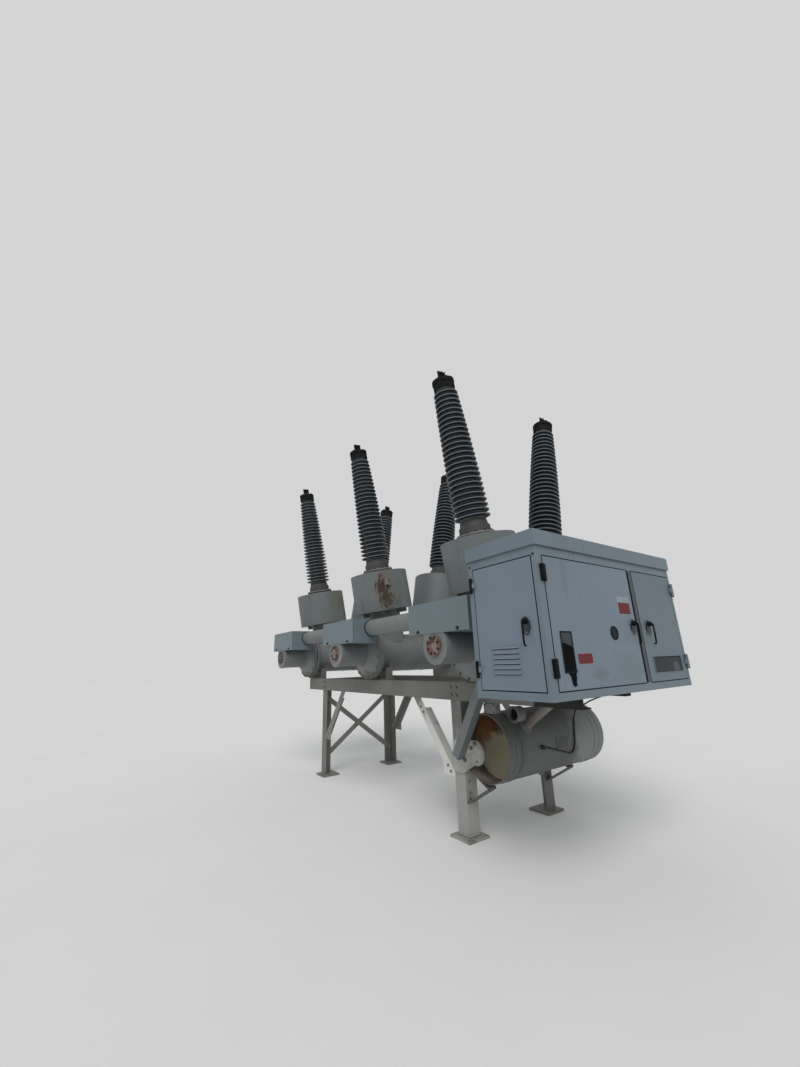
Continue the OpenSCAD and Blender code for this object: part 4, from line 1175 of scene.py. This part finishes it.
    def seals(self, at: Matrix) -> None:
        """Turns the flange's black seal and the cement at both ends of the porcelain.

        Args:
            at: The bushing's frame.
        """
        seal = Shape(f"bushing_seal_{self.name}")
        under = self.flange_low - 0.0025
        seal.turn([(0.15, under), (0.1815, under), (0.1815, self.flange_low + 0.0005)], at, 64)
        seal.turn([(0.1245, self.low - 0.0015), (0.124, self.low + 0.006),
                   (0.116, self.low + 0.007)], at, 64, 1)
        seal.turn([(0.083, self.top - 0.0075), (0.094, self.top - 0.0065),
                   (0.094, self.top + 0.001)], at, 48, 1)
        seal.make("body", Slot.RUBBER, RUBBER_FINISH, CEMENT)


@dataclass
class PoleRow:
    """The three poles with their six bushings."""

    def build(self) -> None:
        """Dresses the nodes of the poles and builds each pole with its bushings."""
        coat(TANK_PAINT, "tanks", "drive_cylinders", "rear_covers", "bushing_necks")
        coat(FLANGE_PAINT, "bushing_flanges")
        coat(CAN_PAINT, "transformer_cans")
        coat(DISC_PAINT, "drive_discs")
        coat(SEALANT_FINISH, "flange_gaskets")
        coat(GLAZE, "porcelain")
        coat(CAP_FINISH, "bushing_caps", "terminals")
        for number in POLES:
            Pole(number).build()
            for side in SIDES:
                Bushing(number, side).build()


@dataclass
class Linkage:
    """The link boxes in front of the poles and the pipes between them."""

    box_x: float = 0.04
    box_w: float = 0.742
    low: float = 1.625
    high: float = 1.875
    front: float = -1.095
    bolt_dx: float = 0.244
    bolt_up: float = 0.02
    bolt_back: float = 0.03
    fold: tuple[float, float] = (0.005, 0.0065)
    proud: float = 0.0004

    def build(self) -> None:
        """Dresses the nodes and adds the bolts and the line of each cover's fold."""
        coat(BOX_PAINT, "link_boxes", "box_covers")
        coat(TANK_PAINT, "link_pipes")
        coat(RUBBER_FINISH, "pipe_gaskets")
        bolts = Shape("cover_bolts")
        seams = Shape("box_seams")
        for pole in POLES:
            x = pole * POLE_PITCH + self.box_x
            for dx in (-self.bolt_dx, self.bolt_dx):
                bolts.bolt(aim((x + dx, self.front, self.low + self.bolt_up), FORWARD), 0.014)
                bolts.bolt(aim((x + dx, self.front + self.bolt_back, self.low), DOWN), 0.01)
            half = self.box_w / 2 + self.proud
            seams.block((x - half, self.front + self.fold[0], self.low - self.proud),
                        (x + half, self.front + self.fold[1], self.high + self.proud),
                        chamfer=0.0)
        bolts.make("body", Slot.BLACK, DARK_BOLT)
        seams.make("body", Slot.RUBBER, SEAM_SHADE)


@dataclass(frozen=True)
class Door:
    """One cabinet door, measured along the X of its face."""

    name: str
    face: Matrix
    handle_x: float
    hinge_x: float
    swing: int
    seal_x: tuple[float, float]

    def at(self, x: float, height: float = 0.0) -> Matrix:
        """A frame on the door's face with X right, Y up and Z out."""
        return shift(self.face, x, height)


@dataclass
class Cabinet:
    """The control cabinet with its roof, doors, handles and fittings.

    Heights are measured from the floor under the breaker, and places on the end doors
    along the frame's Y.
    """

    x0: float = 2.243
    x1: float = 2.833
    y0: float = -1.144
    floor: float = 1.168
    roof_top: float = 2.188
    door_low: float = 1.222
    door_high: float = 2.022
    pivot_z: float = 1.628
    hinge_z: tuple[float, float] = (1.294, 1.86)
    hinge_h: float = 0.108
    plug_spots: tuple[tuple[float, float], ...] = ((2.818, 2.03), (2.262, 2.05))
    strip_y: tuple[float, ...] = (-0.9, -0.3, 0.3)
    screw_x: tuple[float, float] = (2.3, 2.775)
    screw_y: tuple[float, ...] = (-1.1, -0.4, 0.1, 0.57)
    blade_count: int = 6
    blade_pitch: float = 0.031
    rose_r: float = 0.029
    rose_drop: float = 0.052
    rose_t: float = 0.0078
    seal_z: float = -0.0195
    frame_t: float = 0.0035

    @property
    def side(self) -> Matrix:
        """The side door's face with X right, Y up and Z out."""
        return Matrix(((1, 0, 0, 0), (0, 0, -1, self.y0), (0, 1, 0, 0), (0, 0, 0, 1)))

    @property
    def end(self) -> Matrix:
        """The end doors' face with X right, Y up and Z out."""
        return Matrix(((0, 0, 1, self.x1), (1, 0, 0, 0), (0, 1, 0, 0), (0, 0, 0, 1)))

    @property
    def doors(self) -> tuple[Door, Door, Door]:
        """The three doors with the places of their handles, hinges and seals.

        Returns:
            The side door, the main door and the small door.
        """
        return (Door("side", self.side, 2.708, 2.27, 1, (2.302, 2.784)),
                Door("main", self.end, -0.127, -1.097, 1, (-1.065, -0.086)),
                Door("small", self.end, 0.095, 0.606, -1, (0.011, 0.574)))

    def build(self) -> None:
        """Dresses the housing and doors and adds their fittings."""
        coat(CABINET_PAINT, "cabinet_floor", "cabinet_inner_wall", "cabinet_rear_wall",
             "cabinet_side_frame", "cabinet_end_frame", "cabinet_roof")
        coat(BLACK_FINISH, "cabinet_hinges")
        coat(DOOR_PAINT, "side_door", "main_door")
        coat(SMALL_DOOR_PAINT, "small_door")
        coat(BLACK_FINISH, "side_handle", "main_handle", "small_handle")
        self.housing_trim()
        self.louver()
        self.long_window()
        self.port()
        self.door_plates()
        self.low_window()
        for door in self.doors:
            self.rose(door)
            self.lever(door)
        for door in self.doors:
            self.hinges(door)
        for door in self.doors:
            self.seal(door)
        self.painted_gap_shade()

    def housing_trim(self) -> None:
        """Adds the corner plugs, the strips on the roof and the floor's screws."""
        shape = Shape("cabinet_trim")
        for x, z in self.plug_spots:
            shape.button(shift(self.side, x, z), 0.009, 0.002, 0.002, 0.0035, 20, 1)
        half = 0.012
        for y in self.strip_y:
            shape.block((self.x0 + 0.05, y - half, self.roof_top - 0.0045),
                        (self.x1 - 0.03, y + half, self.roof_top - 0.0005))
        for x in self.screw_x:
            for y in self.screw_y:
                shape.bolt(aim((x, y, self.floor), DOWN), 0.01, look=1)
        shape.make("body", Slot.CABINET, CABINET_PAINT, DARK_BOLT)

    def louver(self) -> None:
        """Presses the louver into the side door: a rim with six blades."""
        shape = Shape("side_door_louver")
        left, low, right, high = 2.395, 1.298, 2.645, 1.498
        shape.border((left, low), (right, high), 0.006, 0.0016, self.side, 0.0006)
        start, end = left + 0.018, right - 0.018
        blade = [(0.0, 0.016), (0.0042, 0.0125), (0.0068, 0.0065), (0.006, 0.005),
                 (0.0, 0.0058)]
        across = Matrix(((0, 0, 1, 0), (-1, 0, 0, self.y0), (0, 1, 0, 0), (0, 0, 0, 1)))
        for k in range(self.blade_count):
            z = low + 0.014 + k * self.blade_pitch
            shape.prism(blade, 0.0, end - start, Matrix.Translation((start, 0.0, z)) @ across)
            shape.block((start, z + 0.0005, 0.0), (end, z + 0.0058, 0.0007), self.side, 0.0,
                        look=1)
        shape.make("side_door", Slot.CABINET, DOOR_PAINT, SEAM_SHADE)

    def long_window(self) -> None:
        """Puts the long window on the main door, with the torn film over it."""
        shape = Shape("main_door_window")
        left, low, right, high = -1.004, 1.318, -0.885, 1.562
        glass_left, glass_right, parting = left + 0.007, right - 0.008, 1.466
        shape.border((left, low), (right, high), 0.009, self.frame_t, self.end, 0.001)
        shape.block((glass_left, parting, 0.0), (glass_right, high - 0.007, 0.0015), self.end,
                    0.0, look=1)
        shape.block((glass_left, low + 0.007, 0.0), (glass_right, parting, 0.0012), self.end,
                    0.0, look=2)
        shape.make("main_door", Slot.BLACK, BLACK_FINISH, GREY_GLASS, DARK_GLASS)
        film = Shape("main_door_torn_film")
        torn_edge = [(-1.002, 1.493), (-0.996, 1.435), (-0.998, 1.36), (-0.985, 1.327),
                     (-0.966, 1.314), (-0.951, 1.298), (-0.948, 1.278), (-0.945, 1.261),
                     (-0.938, 1.247), (-0.93, 1.24), (-0.916, 1.246), (-0.902, 1.244),
                     (-0.905, 1.268), (-0.896, 1.288), (-0.898, 1.31), (-0.88, 1.326),
                     (-0.89, 1.35), (-0.894, 1.376), (-0.895, 1.43), (-0.903, 1.473),
                     (-0.93, 1.478), (-0.965, 1.49)]
        film.prism(torn_edge, 0.0026, 0.0034, self.end)
        film.make("main_door", Slot.BLACK, FILM)

    def port(self) -> None:
        """Turns the round port on the main door, a rim with a domed glass."""
        port = Shape("main_door_port")
        spot = shift(self.end, -0.388, 1.557)
        port.turn([(0.047, 0.0), (0.047, 0.003), (0.044, 0.006), (0.039, 0.006),
                   (0.037, 0.003)], spot, 40)
        port.turn([(0.0385, 0.0025), (0.02, 0.0032), (0.0, 0.0034)], spot, 40, 1)
        port.make("main_door", Slot.BLACK, BLACK_FINISH, DARK_GLASS)

    def door_plates(self) -> None:
        """Puts the two bare plates on the main door, the low one with four rivets."""
        plates = Shape("main_door_plates")
        margin, red_top = 0.004, 1.772
        for low, high in (((-0.856, 1.363), (-0.692, 1.432)), ((-0.277, 1.688), (-0.117, 1.817))):
            plates.block((*low, 0.0), (*high, 0.001), self.end, 0.0003, look=1)
            plates.block((low[0] + margin, low[1] + margin, 0.0),
                         (high[0] - margin, min(high[1] - margin, red_top), 0.0015), self.end,
                         0.0)
        for z in (1.369, 1.426):
            for y in (-0.85, -0.698):
                plates.turn([(0.003, 0.0), (0.003, 0.002), (0.0, 0.0025)],
                            shift(self.end, y, z), 10, 1)
        plates.make("main_door", Slot.CABINET, RED_PLATE, PALE_PLATE)

    def low_window(self) -> None:
        """Puts the wide low window on the small door, with painted shade along its top and right
        edges.
        """
        shape = Shape("small_door_window")
        left, low, right, high = 0.08, 1.274, 0.527, 1.399
        rim, glass, shade = 0.006, 0.0015, 0.002
        shape.border((left, low), (right, high), 0.007, self.frame_t, self.end, 0.001)
        shape.block((left + rim, low + rim, 0.0), (right - rim, high - rim, glass), self.end,
                    0.0, look=1)
        # Strips of painted shade along the top and right edges of the glass.
        for corner, far in (((0.087, 1.386), (0.52, 1.392)), ((0.509, 1.281), (0.52, 1.386))):
            shape.block((*corner, glass), (*far, shade), self.end, 0.0, look=2)
        shape.make("small_door", Slot.CABINET, SMALL_DOOR_PAINT, SMALL_GLASS, SEAM_SHADE)

    def rose(self, door: Door) -> None:
        """Builds the long plate behind a door's handle, with its lock.

        Args:
            door: The door.
        """
        rose = Shape(f"{door.name}_handle_rose")
        at = door.at(door.handle_x, self.pivot_z)
        outline = [(self.rose_r * math.cos(turn), middle + self.rose_r * math.sin(turn))
                   for middle, start in ((0.0, 0), (-self.rose_drop, 180))
                   for turn in (math.radians(start + 12 * k) for k in range(16))]
        rose.prism(outline, 0.0, self.rose_t, at, 0.0015)
        lock_t = self.rose_t + 0.0007
        rose.turn([(0.006, self.rose_t), (0.006, lock_t), (0.0, lock_t)],
                  shift(at, y=-0.066), 16, 1)
        rose.make(f"{door.name}_door", Slot.CASTING, ROSE_FINISH, CASTING_FINISH)

    def lever(self, door: Door) -> None:
        """Builds a door's swing handle: the hub and the bent lever.

        Args:
            door: The door.
        """
        shape = Shape(f"{door.name}_handle_lever")
        at = door.at(door.handle_x, self.pivot_z)
        shape.turn([(0.0125, 0.0088), (0.019, 0.009), (0.019, 0.0135), (0.0165, 0.017),
                    (0.0165, 0.03), (0.012, 0.0335), (0.0, 0.0335)], at, 32)
        bends = ((0.0, 0.029), (0.0, 0.037), (-0.003, 0.0405), (-0.009, 0.0415),
                 (-0.04, 0.0415), (-0.08, 0.0413), (-0.12, 0.041), (-0.136, 0.0395),
                 (-0.1425, 0.0355), (-0.144, 0.0265))
        shape.tube([at @ Vector((0.0, y, out)) for y, out in bends], 0.006, 12)
        piece = shape.make(f"{door.name}_handle", Slot.BLACK, BLACK_FINISH, crease=45.0)
        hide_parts(f"{door.name}_handle")

    def hinges(self, door: Door) -> None:
        """Gives a door's hinges their barrels and leaves.

        The fixed leaves stay on the body. Only the main door shows leaves of its own.

        Args:
            door: The door.
        """
        main = door.name == "main"
        at = door.at(door.hinge_x)
        fixed = Shape(f"{door.name}_hinge_barrels")
        moving = Shape(f"{door.name}_hinge_leaves")
        outer, inner, thick = (0.0185, 0.0118, 0.0155) if main else (0.0128, 0.006, 0.0128)
        ends = sorted((-door.swing * outer, -door.swing * inner))
        radius, broken, lap = 0.0107, 0.0085, 0.0006
        barrel = [(0.0, 0.0), (broken, 0.0), (radius, 0.002), (radius, self.hinge_h - 0.002),
                  (broken, self.hinge_h), (0.0, self.hinge_h)]
        for z in self.hinge_z:
            low, high = z - lap, z + self.hinge_h + lap
            fixed.turn(barrel, aim(at @ Vector((0.0, z, 0.012)), UP), 28,
                       1 if door.name == "small" else 0)
            fixed.block((ends[0], low, 0.0), (ends[1], high, thick), at, 0.002,
                        look=0 if main else 1)
            if main:
                moving.block((0.0122, low, 0.0002), (0.0265, high, thick), at, 0.003)
        fixed.make("body", Slot.BLACK, BLACK_FINISH, CABINET_PAINT)
        if main:
            moving.make("main_door", Slot.BLACK, BLACK_FINISH)

    def seal(self, door: Door) -> None:
        """Runs a black seal round the doorway on the back of a door.

        Args:
            door: The door.
        """
        shape = Shape(f"{door.name}_door_seal")
        left, right = door.seal_x
        low, high = self.door_low + 0.011, self.door_high - 0.011
        path = [(left, low, self.seal_z), (right, low, self.seal_z),
                (right, high, self.seal_z), (left, high, self.seal_z)]
        points = [door.face @ Vector(point) for a, b in zip(path, path[1:] + path[:1])
                  for point in steps_between(a, b, 8, 8)]
        shape.tube(points, 0.0042, 8, closed=True)
        shape.make(f"{door.name}_door", Slot.RUBBER, RUBBER_FINISH, crease=60.0)

    def painted_gap_shade(self) -> None:
        """Lays strips of painted shadow on the frame in the door gaps and under the doors, and
        the pillar in painted shade.
        """
        shape = Shape("painted_door_gap_shade")
        low, high = self.door_low, self.door_high
        under = low - 0.0015
        # Painted shadow at the main door's hinge edge and both sides of the pillar, the pillar's
        # face in painted shade, and painted shadow under the main and small doors.
        for left, bottom, right, top, look in (
                (-1.085, low, -1.0775, high, 0), (-0.0735, low, -0.05, high, 0),
                (-0.05, low, -0.0095, high, 1), (-0.0095, low, -0.0015, high, 0),
                (-1.0765, low - 0.0065, -0.075, under, 0), (0.0, low - 0.005, 0.585, under, 0)):
            shape.block((left, bottom, 0.0), (right, top, 0.0008), self.end, 0.0, look)
        # Painted shadow in the gap at the side door's free edge.
        shape.block((2.7965, low, 0.0), (2.803, high, 0.0008), self.side, 0.0)
        shape.make("body", Slot.RUBBER, SEAM_SHADE, PILLAR_SHADE)


@dataclass
class Receiver:
    """The air receiver under the cabinet's end of the frame."""

    x: float = 1.693
    z: float = 0.722
    front: float = -0.5695
    rear: float = 0.7165
    radius: float = 0.262
    weld_y: tuple[float, ...] = (-0.492, -0.425, 0.572, 0.64)
    head_in: float = 0.139
    plate_low: float = -10.5
    plate_high: float = 8.5
    plate_w: float = 0.162
    plate_t: float = 0.0022
    bracket_z: tuple[float, ...] = (0.3, 0.345, 0.43)
    bracket_x: float = 1.43
    bracket_y: float = 0.53
    hose_end: tuple[float, float] = (-0.195, -1.5)
    drum: tuple[float, float, float] = (1.9092, -0.4438, 0.9796)
    feed_foot: tuple[float, float] = (-0.3, 36.0)
    feed_top: tuple[float, float, float] = (2.303, -0.4, 1.168)

    def at(self, y: float) -> Matrix:
        """A frame on the receiver's axis at Y, with Z along it."""
        return aim((self.x, y, self.z), (0, 1, 0))

    def on_shell(self, y: float, angle: float) -> Matrix:
        """Makes a frame on the shell with Z out of it.

        Args:
            y: Where along the shell.
            angle: Degrees above +X.

        Returns:
            The frame.
        """
        a = math.radians(angle)
        out = Vector((math.cos(a), 0, math.sin(a)))
        return aim(Vector((self.x, y, self.z)) + out * self.radius, out, (0, 1, 0))

    def build(self) -> None:
        """Dresses the nodes and adds seams, plate and fittings."""
        coat(RECEIVER_PAINT_LIT_SHADED, "receiver_shell", "receiver_brackets")
        coat(HEAD_PAINT_SHADED, "receiver_heads")
        coat(RUBBER_FINISH, "receiver_hose")
        coat(CASTING_FINISH, "receiver_valve")
        coat(FEED_FINISH, "receiver_feed")
        self.seams()
        self.plate()
        self.fittings()

    def rings(self, shape: Shape, inset: float, down: float, thick: float,
              jitter: float = 0.0) -> None:
        """Lays one bead at each end of the shell.

        Args:
            shape: The piece that takes the beads.
            inset: How far in from the shell's ends they lie.
            down: How much smaller than the shell they are.
            thick: The beads' radius.
            jitter: Share by which that radius wanders.
        """
        for y in (self.front + inset, self.rear - inset):
            shape.ring(self.at(y), self.radius - down, thick, 96, jitter=jitter)

    def seams(self) -> None:
        """Lays the shell's weld beads, rolled rims and the rusted inner seams."""
        shape = Shape("receiver_seams")
        for y in self.weld_y:
            shape.ring(self.at(y), self.radius + 0.0005, 0.0035, 96, jitter=0.15)
        self.rings(shape, 0.004, 0.004, 0.0045)
        shape.make("body", Slot.RECEIVER, RECEIVER_PAINT_LIT_SHADED, crease=60.0)
        rust = Shape("receiver_rusted_seam")
        self.rings(rust, self.head_in, 0.0105, 0.005, 0.25)
        self.rings(rust, 0.0085, 0.0085, 0.0022, 0.3)
        rust.make("body", Slot.RECEIVER, RUST_LINE, crease=60.0)

    def plate(self) -> None:
        """Curves the bare plate on the shell, with four rivets."""
        shape = Shape("receiver_plate")
        steps = 8
        turns = [math.radians(self.plate_low + (self.plate_high - self.plate_low) * k / steps)
                 for k in range(steps + 1)]
        inner, outer = ([(r * math.cos(turn), r * math.sin(turn)) for turn in turns]
                        for r in (self.radius - 0.001, self.radius + self.plate_t))
        at = Matrix(((1, 0, 0, self.x), (0, 0, 1, 0.0), (0, 1, 0, self.z), (0, 0, 0, 1)))
        shape.prism(inner + outer[::-1], 0.0, self.plate_w, at)
        edge, corner = 0.008, 1.6
        for y in (edge, self.plate_w - edge):
            for angle in (self.plate_low + corner, self.plate_high - corner):
                spot = shift(self.on_shell(y, angle), z=self.plate_t)
                shape.turn([(0.0035, 0.0), (0.003, 0.0015), (0.0, 0.002)], spot, 10)
        shape.make("body", Slot.RECEIVER, GREY_PLATE)

    def fittings(self) -> None:
        """Adds the hose union, drain boss, bracket bolts, valve rims, painted shade in the
        valve's bore and feed collars.
        """
        shape = Shape("receiver_fittings")
        shape.turn([(0.02, -0.002), (0.02, 0.006), (0.016, 0.008), (0.0, 0.008)],
                   self.on_shell(*self.hose_end), 24)
        shape.turn([(0.028, -0.004), (0.028, 0.01), (0.018, 0.012), (0.018, 0.03),
                    (0.0, 0.03)], self.on_shell(0.08, -90.0), 24)
        for side in SIDES:
            for z in self.bracket_z:
                shape.bolt(aim((self.bracket_x, side * self.bracket_y, z), ENDWARD), 0.012)
        drum = aim(self.drum, FORWARD)
        shape.turn([(0.0598, 0.0), (0.0645, -0.001), (0.0645, -0.011), (0.0598, -0.012)],
                   drum, 48)
        for x, y, _ in circle(0.0535, 8, 22.5):
            shape.bolt(shift(drum, x, y), 0.006)
        # A dark disc of painted shade at the bottom of the valve's bore.
        shape.turn([(0.0465, -0.0345), (0.0, -0.0345)], drum, 32, 1)
        shape.turn([(0.054, -0.006), (0.054, 0.008), (0.0355, 0.012), (0.0345, 0.03)],
                   self.on_shell(*self.feed_foot), 32)
        shape.turn([(0.052, 0.0), (0.052, -0.012), (0.0345, -0.014)],
                   Matrix.Translation(self.feed_top), 32)
        shape.make("body", Slot.CASTING, CASTING_FINISH, SEAM_SHADE)


@dataclass
class Studio:
    """The floor, the light and the camera."""

    place: tuple[float, float, float] = (4.4019, -3.2653, 1.4120)
    right: tuple[float, float, float] = (0.56900, 0.82173, -0.03151)
    down: tuple[float, float, float] = (-0.25976, 0.14325, -0.95499)
    ahead: tuple[float, float, float] = (-0.78023, 0.55158, 0.29496)
    lens: float = 18.76
    sun: float = 1.45
    sun_from: tuple[float, float, float] = (0.56, -0.48, 0.67)
    sun_spread: float = 35.0
    sky: float = 0.42
    beyond: float = 0.66
    floor_r: float = 60.0

    def camera(self) -> None:
        """Sets the camera at the photograph's angle."""
        data = bpy.data.cameras.new("camera")
        data.lens = self.lens
        data.sensor_width = 36.0
        data.sensor_fit = "HORIZONTAL"
        data.clip_end = 200.0
        camera = bpy.data.objects.new("camera", data)
        x, y, z = Vector(self.right), -Vector(self.down), -Vector(self.ahead)
        camera.matrix_world = Matrix.Translation(self.place) @ Matrix(
            (x, y, z)).transposed().to_4x4()
        bpy.context.scene.collection.objects.link(camera)
        bpy.context.scene.camera = camera

    def floor(self) -> None:
        """Lays a wide pale floor that is clear from below."""
        mesh = bpy.data.meshes.new("floor")
        bm = bmesh.new()
        bmesh.ops.create_circle(bm, cap_ends=True, segments=64, radius=self.floor_r)
        bm.to_mesh(mesh)
        bm.free()
        floor = bpy.data.objects.new("floor", mesh)
        bpy.context.scene.collection.objects.link(floor)
        material = bpy.data.materials.new("pale floor")
        material.use_nodes = True
        g = Graph(material.node_tree)
        g.tree.nodes.clear()
        place = g.add("TexCoord").outputs["Object"]
        tone = g.mix(g.noise(place, 0.8), tint("f4f4f3"), tint("fbfbfa"))
        matt = g.add("BsdfDiffuse", {"Color": tone})
        clear = g.add("BsdfTransparent")
        back = g.add("NewGeometry").outputs["Backfacing"]
        both = g.add("MixShader", {0: back, 1: matt.outputs[0], 2: clear.outputs[0]})
        g.add("OutputMaterial", {"Surface": both.outputs[0]})
        mesh.materials.append(material)

    def light(self) -> None:
        """Sets a pale background, an even sky and one soft sun."""
        world = bpy.data.worlds.new("studio")
        bpy.context.scene.world = world
        world.use_nodes = True
        g = Graph(world.node_tree)
        g.tree.nodes.clear()
        path = g.add("LightPath")
        seen = g.math("MAXIMUM", path.outputs["Is Camera Ray"],
                      g.math("MAXIMUM", path.outputs["Is Glossy Ray"],
                             path.outputs["Is Transmission Ray"]))
        sky = g.add("Background", {"Color": (0.95, 0.975, 1.0, 1.0), "Strength": self.sky})
        white = g.add("Background", {"Color": (1.0, 1.0, 1.0, 1.0), "Strength": self.beyond})
        both = g.add("MixShader", {0: seen, 1: sky.outputs[0], 2: white.outputs[0]})
        g.add("OutputWorld", {"Surface": both.outputs[0]})
        data = bpy.data.lights.new("soft sun", "SUN")
        data.energy = self.sun
        data.angle = math.radians(self.sun_spread)
        data.color = (1.0, 0.985, 0.96)
        sun = bpy.data.objects.new("soft sun", data)
        sun.matrix_world = aim((0, 0, 6), self.sun_from)
        bpy.context.scene.collection.objects.link(sun)

    def build(self) -> None:
        """Sets up the whole studio."""
        self.camera()
        self.floor()
        self.light()
        bpy.context.scene.view_settings.view_transform = "Standard"


def main() -> None:
    """Builds the classes in order."""
    logging.basicConfig(level=logging.INFO, format="%(message)s")
    for assembly in (Studio(), SteelFrame(), PoleRow(), Linkage(), Cabinet(), Receiver()):
        assembly.build()
    for name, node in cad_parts.items():
        if not node.get("dressed"):
            LOG.warning("no finish on %s", name)
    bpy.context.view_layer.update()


if __name__ == "__main__":
    main()
